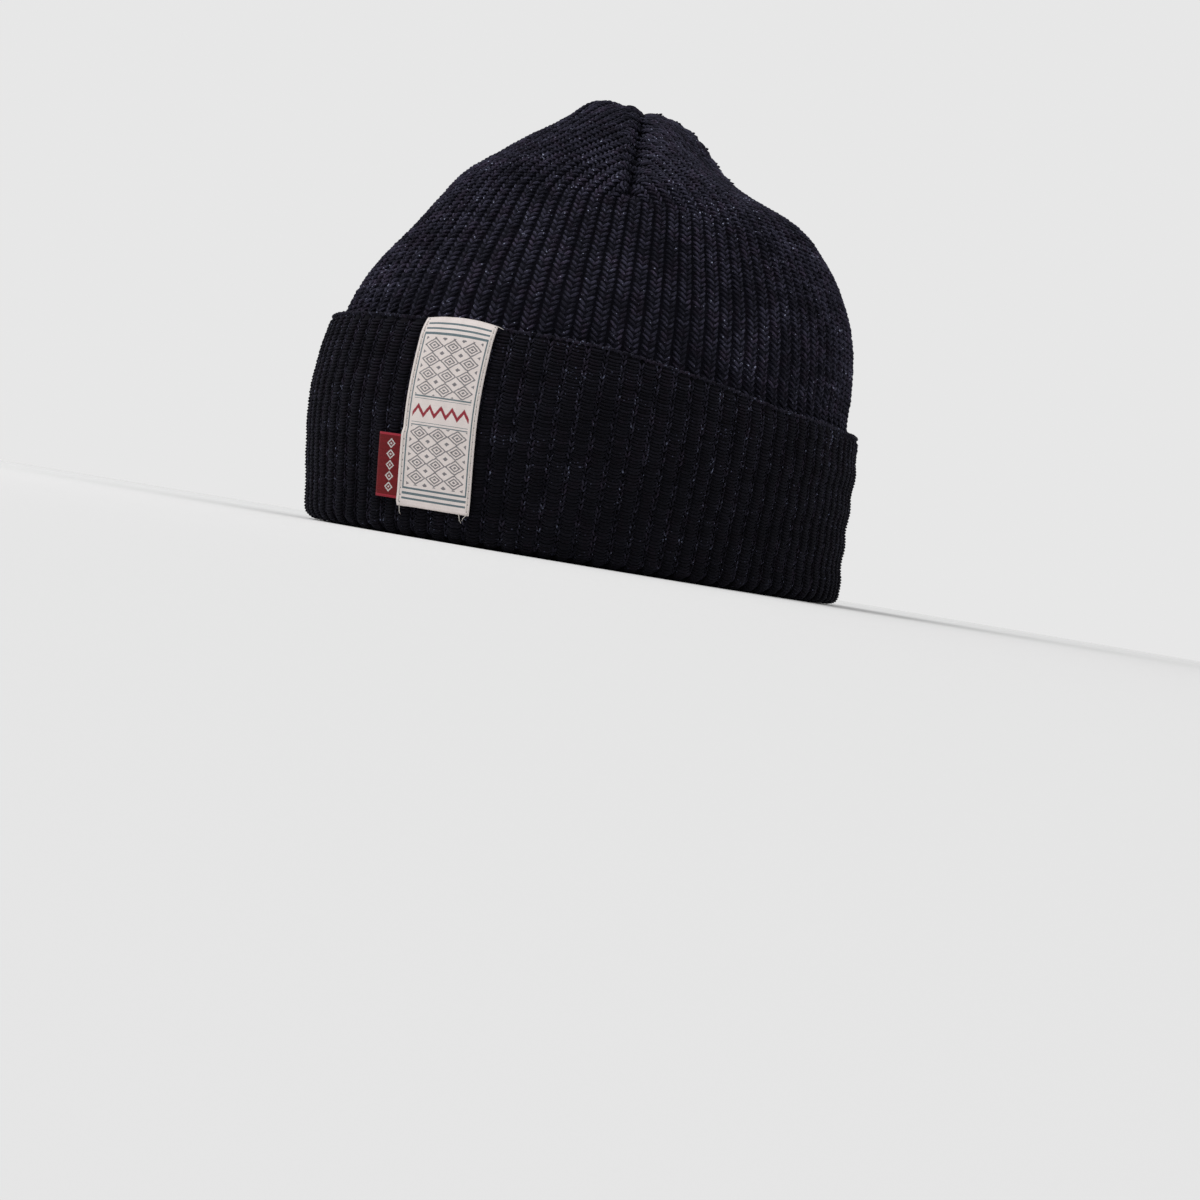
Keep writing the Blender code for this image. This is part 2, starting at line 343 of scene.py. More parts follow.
def measured_profile():
    """The crown's side profile as heights and girths, with the arc at each."""
    knots = [Vector((s.girth, CROWN_FOOT + s.height * (TIP_HEIGHT - CROWN_FOOT))) for s in CROWN_SECTIONS]
    past_tip = Vector((-knots[-2].x, knots[-2].y))
    knots = [2 * knots[0] - knots[1]] + knots + [past_tip]
    points = []
    for index in range(1, len(knots) - 2):
        for step in range(PROFILE_STEPS):
            points.append(curve_through(*knots[index - 1 : index + 3], step / PROFILE_STEPS))
    points.append(knots[-2])
    girths = np.array([point.x for point in points])
    heights = np.array([point.y for point in points])
    mean_half = (CROWN_HALF_WIDTH + CROWN_HALF_LENGTH) / 2
    steps = np.hypot(np.diff(girths) * mean_half, np.diff(heights))
    return heights, girths, np.concatenate(([0.0], np.cumsum(steps)))


HEIGHTS, GIRTHS, ARCS = measured_profile()
FULL_ARC = float(ARCS[-1])
FIRST_DART_TURN = turn_at(FIRST_DART_AZIMUTH)
RIB_SHARE = 2.0 / RIBS_PER_GORE
RIB_WIDTH = OVAL_PERIMETER / GORES / RIBS_PER_GORE


def height_at(arc):
    return np.interp(arc, ARCS, HEIGHTS)


def girth_at(arc):
    return np.interp(arc, ARCS, GIRTHS)


def arc_at(height):
    return np.interp(height, HEIGHTS, ARCS)


def knit_left(arc):
    """The share of each gore that its darts have left: 1 below them, 0 at the tip."""
    return np.clip((FULL_ARC - arc) / DART_LENGTH, 0.0, 1.0)


def on_knit(column, arc):
    """Where a rib is at this arc. column is -1 to 1 across the gore, and each rib stops at its dart."""
    left = knit_left(arc)
    inside = np.abs(column) <= left
    across = np.where(inside, column / np.maximum(left, MERGE_DISTANCE), np.sign(column))
    return across, np.where(inside, arc, FULL_ARC - DART_LENGTH * np.abs(column))


def cuff_top(turn):
    """How high the cuff is turned up here."""
    turns = [turn_at(row.azimuth) for row in CUFF_TURNS]
    return CUFF_HEIGHT * np.interp(turn, turns, [row.height for row in CUFF_TURNS], period=1.0)


def bell(distance, reach):
    return np.exp(-((distance / reach) ** 2))


def hump(share):
    """1 half way along, 0 at both ends."""
    return 4.0 * share * (1.0 - share)


def turns_apart(turn, other):
    """How far a turn is past another, the short way round."""
    return (turn - other + 0.5) % 1.0 - 0.5


def seam_distance(across, arc):
    """The way from here to the nearer seam of the gore."""
    return (1.0 - np.abs(across)) * OVAL_PERIMETER * girth_at(arc) / GORES / 2


def shape_rise(turn, across, arc):
    """How far the knit stands out from its plain oval: seams dip, gores flatten, and soft swells rise."""
    shown = np.clip((height_at(arc) - cuff_top(turn)) / SWELL_START, 0.0, 1.0)
    taken = 1.0 - knit_left(arc)
    from_seam = seam_distance(across, arc)
    onset = np.minimum(1.0, taken / SEAM_ONSET)
    depth = np.interp(taken, [row.taken for row in PINCH_DEPTHS], [row.depth for row in PINCH_DEPTHS])
    pinch = SEAM_PINCH * bell(from_seam, PINCH_REACH) * depth
    roll = SEAM_ROLL * bell(from_seam - 2 * PINCH_REACH, SEAM_ROLL_REACH) * (across > 0)
    rise = (roll - SEAM_DEPTH * bell(from_seam, SEAM_REACH)) * onset - pinch
    rise -= GORE_FLATTENING * hump(taken) * np.cos(math.pi * across)
    for swell in SWELLS:
        round_share = bell(turns_apart(turn, turn_at(swell.azimuth)) * 360.0, swell.spread)
        rise += shown * swell.rise * CROWN_WALL * round_share * bell(arc / FULL_ARC - swell.up, swell.reach)
    return rise


def oval_places(angle, girth, height):
    x = CROWN_HALF_WIDTH * girth * np.sin(angle)
    y = -CROWN_HALF_LENGTH * girth * np.cos(angle)
    return np.stack(np.broadcast_arrays(x, y, height), axis=-1)


def unit(arrows):
    return arrows / np.linalg.norm(arrows, axis=-1, keepdims=True)


def crown_places(gore, column, arc, rise):
    """Points of the crown, by rib and arc. rise is how far each stands off the tops of the ribs."""
    across, arc = on_knit(column, arc)
    girth = girth_at(arc)
    turn = FIRST_DART_TURN + (gore + 0.5 + across / 2) / GORES
    angle = oval_angle(turn)
    widening = girth_at(arc + SLOPE_STEP) - girth_at(arc - SLOPE_STEP)
    climb = height_at(arc + SLOPE_STEP) - height_at(arc - SLOPE_STEP)
    normal = unit(np.stack((
        climb * CROWN_HALF_LENGTH * np.sin(angle),
        -climb * CROWN_HALF_WIDTH * np.cos(angle),
        -widening * CROWN_HALF_WIDTH * CROWN_HALF_LENGTH,
    ), axis=-1))
    lift = (shape_rise(turn, across, arc) + rise)[..., None]
    places = oval_places(angle, girth, height_at(arc)) + normal * lift
    at_tip = girth < MERGE_DISTANCE
    places[at_tip] = np.stack((0 * rise, 0 * rise, TIP_HEIGHT - SEAM_DEPTH + rise), axis=-1)[at_tip]
    return places


def cuff_inside(share):
    """How far the cuff's inside stands off the crown at a share of its height: its edge gapes a little."""
    return LAYER_GAP + CUFF_GAPE * np.minimum(1.0, share) ** 4


def beside_crown(turn, height, offset):
    """Points beside the crown's oval at this height, offset straight outwards."""
    angle = oval_angle(turn)
    outwards = unit(np.stack((
        CROWN_HALF_LENGTH * np.sin(angle), -CROWN_HALF_WIDTH * np.cos(angle), 0 * angle
    ), axis=-1))
    girth = girth_at(arc_at(np.maximum(height, CROWN_FOOT)))
    return oval_places(angle, girth, height) + outwards * np.asarray(offset)[..., None]


FOLD_QUARTER = math.pi / 2 * FOLD_ROLL
LABEL_TURN = turn_at(LABEL_AZIMUTH)
LABEL_TOP = float(cuff_top(LABEL_TURN))
LABEL_LENGTH = LABEL_TOP + LABEL_OVER_EDGE - LABEL_FOOT


def cuff_way(turn):
    """The length of the cuff's outside, from under its fold up to its free edge."""
    return cuff_top(turn) - FOLD_ROLL + FOLD_QUARTER


def edge_lean(turn, height):
    """How far the cuff leans in near its free edge."""
    from_label = turns_apart(turn, LABEL_TURN) * OVAL_PERIMETER
    lean = EDGE_LEAN + LABEL_EDGE_LEAN * bell(from_label, LABEL_WIDTH)
    return lean * np.clip((height - cuff_top(turn)) / EDGE_LEAN_REACH + 1.0, 0.0, PAST_EDGE) ** 2


def cuff_swell(turn, height):
    """How far the cuff flares and waves outwards."""
    round_share = bell(turns_apart(turn, turn_at(FLARE_AZIMUTH)) * 360.0, FLARE_SPREAD)
    flare = FLARE * round_share * np.clip(1.0 - height / FLARE_HEIGHT, 0.0, 1.0) ** FLARE_CURVE
    away = 0.5 - 0.5 * np.cos(2 * math.pi * (turn - LABEL_TURN))
    slide = CUFF_WAVE_SLIDE * np.sin(2 * math.pi * 2 * turn)
    return flare + CUFF_WAVE * away * np.sin(2 * math.pi * height / CUFF_WAVE_PITCH + slide)


def cuff_places(turn, way, rise):
    """Points of the cuff's outside, way along the knit from under the fold, rise off its ribs."""
    bend = np.clip(way / FOLD_ROLL, 0.0, math.pi / 2)
    height = FOLD_ROLL * (1.0 - np.cos(bend)) + np.maximum(0.0, way - FOLD_QUARTER)
    side = cuff_inside(height / cuff_top(turn)) + CUFF_WALL - edge_lean(turn, height)
    side = side + cuff_swell(turn, height)
    offset = side - FOLD_ROLL * (1.0 - np.sin(bend)) + rise * np.sin(bend)
    return beside_crown(turn, height - rise * np.cos(bend), offset)


def roping(column, arc):
    """How far the ribs bunch into cords, from 0 up."""
    across, arc = on_knit(column, arc)
    onset = np.minimum(1.0, (1.0 - knit_left(arc)) / (SEAM_ONSET / 2))
    slope = np.clip((arc / FULL_ARC - SLOPE_FROM) / (SLOPE_TO - SLOPE_FROM), 0.0, 1.0)
    return SEAM_ROPE * bell(seam_distance(across, arc), SEAM_ROPE_REACH) * onset + SLOPE_ROPE * slope


def fold_notch(way):
    """How much deeper the wales lie near the fold."""
    return FOLD_NOTCH * np.clip(1.0 - way / FOLD_NOTCH_REACH, 0.0, 1.0) ** 0.7


def rib_relief(phase):
    """How far the knit's ground lies under the top of a rib: phase is -0.5 to 0.5 across the rib."""
    return -RIB_DEPTH * np.abs(2.0 * phase) ** RIB_SQUARENESS


def knit_grid(bm, columns, rows, place):
    """Lays a grid of faces and puts its corners at place(column, row), which takes and gives arrays."""
    grid = bmesh.ops.create_grid(bm, x_segments=columns, y_segments=rows, size=1.0, calc_uvs=True)
    corners = grid["verts"]
    flat = np.array([corner.co[:] for corner in corners])
    column = np.rint((flat[:, 0] + 1.0) / 2 * columns).astype(int)
    row = np.rint((flat[:, 1] + 1.0) / 2 * rows).astype(int)
    for corner, spot in zip(corners, place(column, row)):
        corner.co = spot


def in_scene(name, data):
    """An object with this mesh, light or camera, in the scene."""
    made = bpy.data.objects.new(name, data)
    bpy.context.scene.collection.objects.link(made)
    return made


def mesh_of(name, bm, material):
    mesh = bpy.data.meshes.new(name)
    bm.to_mesh(mesh)
    bm.free()
    mesh.materials.append(material)
    return mesh


def made_object(name, bm, material, closed=True):
    """Makes the mesh an object. A closed one is joined where its corners meet, and its faces point out."""
    if closed:
        bmesh.ops.remove_doubles(bm, verts=bm.verts, dist=MERGE_DISTANCE)
        bmesh.ops.recalc_face_normals(bm, faces=bm.faces)
    mesh = mesh_of(name, bm, material)
    mesh.shade_smooth()
    return in_scene(name, mesh)


def worn(piece, slot, *replaced):
    """Makes a piece part of the hat: it rides on the one body and stands for what it replaces."""
    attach(piece, "root")
    if replaced:
        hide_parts(*replaced)
    return piece


# Shader helpers

COLOR = "NodeSocketColor"
NUMBER = "NodeSocketFloat"
GEOMETRY = "NodeSocketGeometry"
OBJECT = "NodeSocketObject"


def node_group(name, kind, inputs, outputs):
    """A node group with these sockets. Inside it, it is given the first and results in the second."""
    tree = bpy.data.node_groups.new(name, kind)
    for way, sockets in (("INPUT", inputs), ("OUTPUT", outputs)):
        for socket, form in sockets.items():
            tree.interface.new_socket(socket, in_out=way, socket_type=form)
    given = tree.nodes.new("NodeGroupInput").outputs
    result = tree.nodes.new("NodeGroupOutput").inputs
    return tree, given, result


def link_all(tree, *pairs):
    for source, target in pairs:
        tree.links.new(source, target)


def set_inputs(node, values):
    """Sets a node's own sockets. A colour is given without its alpha."""
    for name, value in values.items():
        node.inputs[name].default_value = (*value, 1.0) if isinstance(value, tuple) else value


def new_material(name):
    material = bpy.data.materials.new(name)
    material.use_nodes = True
    return material, material.node_tree, material.node_tree.nodes["Principled BSDF"]


def math_node(tree, operation, first, second=None, third=None, clamp=False):
    node = tree.nodes.new("ShaderNodeMath")
    node.operation = operation
    node.use_clamp = clamp
    for socket, value in zip(node.inputs, (first, second, third)):
        if value is None:
            continue
        if isinstance(value, (int, float)):
            socket.default_value = value
        else:
            tree.links.new(value, socket)
    return node.outputs[0]


def ramp(tree, value, low, high):
    """0 below low, 1 above high, smooth between."""
    node = tree.nodes.new("ShaderNodeMapRange")
    node.interpolation_type = "SMOOTHSTEP"
    tree.links.new(value, node.inputs["Value"])
    node.inputs["From Min"].default_value = low
    node.inputs["From Max"].default_value = high
    return node.outputs["Result"]


def mixed(tree, share, first, second, blend="MIX"):
    """A colour between first and second. Each is a socket or a colour."""
    node = tree.nodes.new("ShaderNodeMix")
    node.data_type = "RGBA"
    node.blend_type = blend
    sockets = (node.inputs[0], node.inputs[6], node.inputs[7])
    for socket, value in zip(sockets, (share, first, second)):
        if isinstance(value, (int, float)):
            socket.default_value = value
        elif isinstance(value, tuple):
            socket.default_value = (*value, 1.0)
        else:
            tree.links.new(value, socket)
    return node.outputs[2]


def noise(tree, coordinates, size, detail=2.0, stretch=(1.0, 1.0, 1.0)):
    """Noise whose features are about size metres across, stretched by the three shares."""
    mapping = tree.nodes.new("ShaderNodeMapping")
    mapping.inputs["Scale"].default_value = tuple(1.0 / share for share in stretch)
    tree.links.new(coordinates, mapping.inputs["Vector"])
    node = tree.nodes.new("ShaderNodeTexNoise")
    node.inputs["Scale"].default_value = 1.0 / size
    node.inputs["Detail"].default_value = detail
    tree.links.new(mapping.outputs["Vector"], node.inputs["Vector"])
    return node.outputs["Fac"]


def named_value(tree, name):
    node = tree.nodes.new("ShaderNodeAttribute")
    node.attribute_name = name
    return node.outputs["Fac"]


def bumped(tree, shader, height, strength, distance):
    """Makes the height show as relief."""
    bump = tree.nodes.new("ShaderNodeBump")
    set_inputs(bump, {"Strength": strength, "Distance": distance})
    link_all(tree, (height, bump.inputs["Height"]), (bump.outputs["Normal"], shader.inputs["Normal"]))


def indigo_yarn_group():
    """Dark cotton yarn: faded patches and bands, stitches of other tones, and pale flecks."""
    tree, given, result = node_group(
        "indigo_yarn", "ShaderNodeTree",
        {"Deep": COLOR, "Faded": COLOR, "Fleck": COLOR, "Flecks from": NUMBER, "Tone": NUMBER},
        {"Color": COLOR, "Roughness": NUMBER, "Height": NUMBER},
    )
    place = tree.nodes.new("ShaderNodeTexCoord").outputs["Object"]
    patches = noise(tree, place, 0.014, 3.0)
    spun = noise(tree, place, 0.0011, 2.0)
    bands = noise(tree, place, 0.0035, 2.0, stretch=(7.0, 7.0, 1.0))
    slubs = noise(tree, place, 0.00075, 1.0)
    warmed = ramp(tree, noise(tree, place, 0.0055, 2.0), 0.50, 0.62)
    plies = noise(tree, place, 0.0006, 1.0)
    fibres = noise(tree, place, 0.00018, 2.0)
    faded = math_node(tree, "MULTIPLY_ADD", patches, 1.3, -0.65)
    faded = math_node(tree, "MULTIPLY_ADD", spun, 1.0, faded)
    faded = math_node(tree, "MULTIPLY_ADD", bands, 1.1, faded)
    faded = math_node(tree, "MULTIPLY_ADD", given["Tone"], 0.7, faded)
    faded = math_node(tree, "MULTIPLY_ADD", plies, 1.8, faded)
    faded = math_node(tree, "SUBTRACT", faded, 1.93, clamp=True)
    color = mixed(tree, faded, given["Deep"], given["Faded"])
    tint = mixed(tree, warmed, (1.0, 1.0, 1.0), (1.12, 0.96, 1.0))
    color = mixed(tree, 1.0, color, tint, "MULTIPLY")
    banded = math_node(tree, "MULTIPLY_ADD", bands, -0.32, 0.16)
    banded = math_node(tree, "MULTIPLY_ADD", patches, -0.16, math_node(tree, "ADD", banded, 0.08))
    banded = math_node(tree, "MULTIPLY_ADD", given["Tone"], -0.04, math_node(tree, "ADD", banded, 0.02))
    start = math_node(tree, "ADD", given["Flecks from"], banded)
    end = math_node(tree, "ADD", start, 0.05)
    fleck = tree.nodes.new("ShaderNodeMapRange")
    link_all(
        tree,
        (slubs, fleck.inputs["Value"]),
        (start, fleck.inputs["From Min"]),
        (end, fleck.inputs["From Max"]),
    )
    color = mixed(tree, fleck.outputs["Result"], color, given["Fleck"])
    roughness = math_node(tree, "MULTIPLY_ADD", fibres, 0.2, 0.78)
    link_all(
        tree, (color, result["Color"]), (roughness, result["Roughness"]), (fibres, result["Height"])
    )
    return tree


INDIGO_YARN = indigo_yarn_group()


def yarn_material(name, deep, faded, fleck, flecks_from):
    """A yarn of the hat, by its colours and by how rare its flecks are."""
    material, tree, shader = new_material(name)
    yarn = tree.nodes.new("ShaderNodeGroup")
    yarn.node_tree = INDIGO_YARN
    set_inputs(yarn, {"Deep": deep, "Faded": faded, "Fleck": fleck, "Flecks from": flecks_from})
    link_all(
        tree,
        (named_value(tree, "tone"), yarn.inputs["Tone"]),
        (yarn.outputs["Color"], shader.inputs["Base Color"]),
        (yarn.outputs["Roughness"], shader.inputs["Roughness"]),
    )
    bumped(tree, shader, yarn.outputs["Height"], 0.5, 0.0001)
    set_inputs(shader, {
        "Specular IOR Level": 0.06,
        "Sheen Weight": 0.05,
        "Sheen Roughness": 0.45,
        "Sheen Tint": (0.45, 0.48, 0.75),
    })
    return material


CROWN_YARN = yarn_material(
    "crown_yarn", (0.0108, 0.0105, 0.0165), (0.049, 0.0470, 0.075), (0.36, 0.39, 0.53), 0.735
)
CUFF_YARN = yarn_material(
    "cuff_yarn", (0.0043, 0.0040, 0.0055), (0.010, 0.0092, 0.0135), (0.08, 0.085, 0.135), 0.745
)
WALE_YARN = yarn_material(
    "cuff_wale_yarn", (0.0048, 0.0044, 0.0066), (0.024, 0.0222, 0.034), (0.13, 0.145, 0.21), 0.690
)
# Painted shade: the crown's ground yarn is darker than its stitches' yarn, for the gaps between stitches
# where the ground shows
CROWN_SHADED_GROUND = yarn_material(
    "crown_ground_shaded_yarn", (0.006, 0.0058, 0.0095), (0.013, 0.0127, 0.021), (0.02, 0.02, 0.04), 0.80
)
# Painted shade: the cuff's ground yarn is darker than its stitches' yarn, for the gaps between stitches
# where the ground shows
CUFF_SHADED_GROUND = yarn_material(
    "cuff_ground_shaded_yarn", (0.003, 0.0028, 0.004), (0.006, 0.0055, 0.008), (0.01, 0.01, 0.02), 0.80
)


# Stitches

def stitch_nodes():
    """Geometry nodes that put a stitch on every point, turned and stretched as the point says."""
    tree, given, result = node_group(
        "laid_stitches", "GeometryNodeTree", {"Points": GEOMETRY, "Stitch": OBJECT}, {"Stitches": GEOMETRY}
    )
    lay = tree.nodes.new("GeometryNodeInstanceOnPoints")
    stitch = tree.nodes.new("GeometryNodeObjectInfo")
    turned = tree.nodes.new("GeometryNodeInputNamedAttribute")
    turned.data_type = "QUATERNION"
    turned.inputs["Name"].default_value = "turned"
    stretched = tree.nodes.new("GeometryNodeInputNamedAttribute")
    stretched.data_type = "FLOAT_VECTOR"
    stretched.inputs["Name"].default_value = "stretched"
    realize = tree.nodes.new("GeometryNodeRealizeInstances")
    link_all(
        tree,
        (given["Points"], lay.inputs["Points"]),
        (given["Stitch"], stitch.inputs["Object"]),
        (stitch.outputs["Geometry"], lay.inputs["Instance"]),
        (turned.outputs["Attribute"], lay.inputs["Rotation"]),
        (stretched.outputs["Attribute"], lay.inputs["Scale"]),
        (lay.outputs["Instances"], realize.inputs["Geometry"]),
        (realize.outputs["Geometry"], result["Stitches"]),
    )
    return tree


STITCH_NODES = stitch_nodes()

# A stitch's yarn: across, along and out at each point, as shares of a rib, a course and a yarn's radius,
# and thick, its thickness there as a share of the yarn
Bend = namedtuple("Bend", "across along out thick")
CROWN_LEG = (
    Bend(-0.245, -0.52, -0.4, 0.75),
    Bend(-0.130, -0.30, 0.2, 1.10),
    Bend(0.020, 0.16, -0.2, 1.05),
    Bend(0.145, 0.70, -2.6, 0.70),
)
CUFF_PURL = (
    Bend(-0.36, 0.22, -1.2, 0.70),
    Bend(-0.16, -0.06, 0.3, 1.00),
    Bend(0.16, -0.06, 0.3, 1.00),
    Bend(0.36, 0.22, -1.2, 0.70),
)
CUFF_WALE_LEG = (
    Bend(-0.060, -0.60, -0.3, 0.60),
    Bend(0.000, -0.05, 0.7, 1.00),
    Bend(0.060, 0.52, -0.3, 0.60),
)
EDGE_LOOP = (
    Bend(-0.17, -0.15, -1.0, 0.80),
    Bend(-0.05, 0.15, 0.6, 1.10),
    Bend(0.08, 0.12, 0.6, 1.10),
    Bend(0.19, -0.20, -1.0, 0.80),
)


def stitch_object(name, bends, radius, sides, material, mirrored=False):
    """A short closed tube of yarn that bends as its table says."""
    side = -1.0 if mirrored else 1.0
    spine = [Vector((side * b.across * RIB_WIDTH, b.along * COURSE, b.out * radius)) for b in bends]
    steps = len(spine) - 1

    def place(column, row):
        spots = []
        for turn, index in zip(column / sides * 2 * math.pi, row):
            ahead = spine[min(index + 1, steps)] - spine[max(index - 1, 0)]
            across = ahead.cross(Vector((0.0, 0.0, 1.0))).normalized()
            out = across.cross(ahead).normalized()
            thick = radius * bends[index].thick
            spots.append(spine[index] + (across * math.cos(turn) + out * math.sin(turn)) * thick)
        return spots

    bm = bmesh.new()
    knit_grid(bm, sides, steps, place)
    bmesh.ops.remove_doubles(bm, verts=bm.verts, dist=MERGE_DISTANCE)
    bmesh.ops.holes_fill(bm, edges=bm.edges, sides=sides)
    stitch = made_object(name, bm, material)
    stitch.hide_render = True
    return stitch


def laid(name, stitch, places, across, along, stretched, tone):
    """One mesh of a stitch repeated at places, which face the way that across and along give."""
    outwards = unit(np.cross(across, along))
    along = unit(along)
    across = np.cross(along, outwards)
    turned = [Matrix(rows).transposed().to_quaternion() for rows in zip(across, along, outwards)]
    mesh = bpy.data.meshes.new(name)
    mesh.vertices.add(len(places))
    mesh.vertices.foreach_set("co", places.ravel())
    mesh.attributes.new("turned", "QUATERNION", "POINT").data.foreach_set("value", np.ravel(turned))
    mesh.attributes.new("stretched", "FLOAT_VECTOR", "POINT").data.foreach_set("vector", stretched.ravel())
    mesh.attributes.new("tone", "FLOAT", "POINT").data.foreach_set("value", tone)
    piece = in_scene(name, mesh)
    layer = piece.modifiers.new("Laid stitches", "NODES")
    layer.node_group = STITCH_NODES
    for item in STITCH_NODES.interface.items_tree:
        if item.name == "Stitch":
            layer[item.identifier] = stitch
    bpy.context.view_layer.update()
    graph = bpy.context.evaluated_depsgraph_get()
    finished = bpy.data.meshes.new_from_object(piece.evaluated_get(graph))
    finished.name = name
    piece.modifiers.clear()
    piece.data = finished
    for spare in ("turned", "stretched"):
        if spare in finished.attributes:
            finished.attributes.remove(finished.attributes[spare])
    return piece


def joined(name, parts):
    """Several meshes of one material as one object."""
    bm = bmesh.new()
    for part in parts:
        bm.from_mesh(part.data)
    mesh = mesh_of(name, bm, parts[0].data.materials[0])
    for part in parts:
        bpy.data.objects.remove(part, do_unlink=True)
    return in_scene(name, mesh)


def uneven(random, count, spread):
    """A column of numbers round 1."""
    return 1.0 + random.uniform(-1.0, 1.0, count) * spread


def uneven_sizes(random, count):
    return np.stack([uneven(random, count, LOOP_SPREAD) for _ in range(3)], axis=1)


def facing(place, first, second, step):
    """Points at place(first, second), and arrows there across and along the knit or the cloth."""
    across = place(first + step, second) - place(first - step, second)
    along = place(first, second + WAY_STEP) - place(first, second - WAY_STEP)
    return place(first, second), across, along


def each_stitch(rows):
    """The place and the way of each stitch, from rows that have one place each and many ways."""
    places = [np.full(len(ways), place) for place, ways in rows]
    return np.concatenate(places), np.concatenate([ways for place, ways in rows])


def crown_leg_points(gore, side):
    """Rib column and arc of every stitch leg on one side of the ribs of a gore."""
    rows = []
    for rib in range(RIBS_PER_GORE):
        column = (rib + 0.5 + side * LEG_OFFSET) * RIB_SHARE - 1.0
        turn = FIRST_DART_TURN + (gore + 0.5 + column / 2) / GORES
        start = arc_at(cuff_top(turn)) - 2 * COURSE
        first = math.floor(start / COURSE)
        last = math.floor((FULL_ARC - DART_LENGTH * abs(column)) / COURSE - LEG_SHORT)
        rows.append((column, np.arange(first, last + 1) * COURSE))
    return each_stitch(rows)


def crown_stitches(gore):
    """The crown's stitches on one gore: two legs to a stitch, in a V."""
    random = np.random.default_rng(SEED + gore)
    parts = []
    for side, stitch in ((-1, LEFT_LEG), (1, RIGHT_LEG)):
        column, arc = crown_leg_points(gore, side)
        rope = roping(column, arc)
        loose = 1.0 / (1.0 + ROPE_EVENS * rope)
        arc = arc + random.uniform(-LEG_ALONG, LEG_ALONG, len(arc)) * COURSE * loose
        column = column + random.uniform(-LEG_ACROSS, LEG_ACROSS, len(arc)) * RIB_SHARE * loose
        sunk = -YARN - random.uniform(0.0, LEG_DEPTH, len(arc)) * YARN * loose
        places, across, along = facing(
            lambda column, arc: crown_places(gore, column, arc, sunk), column, arc, COLUMN_STEP
        )
        width = np.linalg.norm(across, axis=1) / (2 * COLUMN_STEP) * RIB_SHARE / RIB_WIDTH
        by_width, by_length, by_height = LEG_SIZES
        stretched = np.stack((
            np.clip(width, *LEG_WIDTHS) * (1.0 - ROPE_NARROWS * rope) * uneven(random, len(arc), by_width),
            (1.0 + ROPE_LENGTHENS * rope) * uneven(random, len(arc), by_length),
            (1.0 - ROPE_FLATTENS * rope) * uneven(random, len(arc), by_height * loose),
        ), axis=1)
        # Painted shade: darker tones for the crown's stitches just above the cuff
        painted_shade = np.clip((PAINTED_SHADE_TO - height_at(arc)) / PAINTED_SHADE_REACH, 0.0, 1.0)
        tone = random.uniform(0.0, 1.0, len(arc)) - PAINTED_SHADE_TONE * painted_shade
        parts.append(laid(f"legs_{gore}_{side}", stitch, places, across, along, stretched, tone))
    return worn(joined(f"crown_stitches_{gore + 1}", parts), "crown_knit")


def cuff_points(gore, phase, knit):
    """Turn and way of a row of stitches up every rib of the cuff in one gore."""
    rows = []
    for rib in range(RIBS_PER_GORE):
        turn = FIRST_DART_TURN + (gore + (rib + 0.5 + phase) / RIBS_PER_GORE) / GORES
        first = math.floor(knit.start / knit.pitch)
        last = math.floor((cuff_way(turn) - knit.end) / knit.pitch)
        rows.append((turn, np.arange(first, last + 1) * knit.pitch))
    return each_stitch(rows)


def cuff_layer(name, gore, stitch, phase, knit, random):
    """One kind of stitch all over the cuff in one gore."""
    turn, way = cuff_points(gore, phase, knit)
    way = way + random.uniform(-CUFF_ALONG, CUFF_ALONG, len(way)) * knit.pitch
    deeper = random.uniform(0.0, CUFF_DEPTH, len(way)) * YARN
    rise = -knit.sink - deeper - 2 * abs(phase) * fold_notch(way)
    places, across, along = facing(lambda turn, way: cuff_places(turn, way, rise), turn, way, TURN_STEP)
    width = np.linalg.norm(across, axis=1) / (2 * TURN_STEP) / GORES / RIBS_PER_GORE / RIB_WIDTH
    by_width, by_length, by_height = CUFF_SIZES
    stretched = np.stack((
        width * uneven(random, len(way), by_width),
        uneven(random, len(way), by_length),
        CUFF_STITCH_OUT * uneven(random, len(way), by_height),
    ), axis=1)
    near_edge = np.clip(1.0 - (cuff_way(turn) - way) / EDGE_LEAN_REACH, 0.0, 1.0)
    higher = way / cuff_way(turn) - 0.5
    tone = random.uniform(*knit.tones, len(way)) + EDGE_PALER * near_edge + CUFF_PALER_UP * higher
    return laid(name, stitch, places, across, along, stretched, tone)


def cuff_purls(gore):
    random = np.random.default_rng(PURL_SEED + gore)
    return worn(cuff_layer(f"cuff_purls_{gore + 1}", gore, PURL, 0.0, PURLS, random), "cuff_knit")


def cuff_wales(gore):
    random = np.random.default_rng(WALE_SEED + gore)
    parts = [
        cuff_layer(f"wales_{gore}_{side}", gore, stitch, 0.5 + side * WALE_LEG, WALES, random)
        for side, stitch in ((-1, LEFT_WALE), (1, RIGHT_WALE))
    ]
    return worn(joined(f"cuff_wales_{gore + 1}", parts), "cuff_knit")


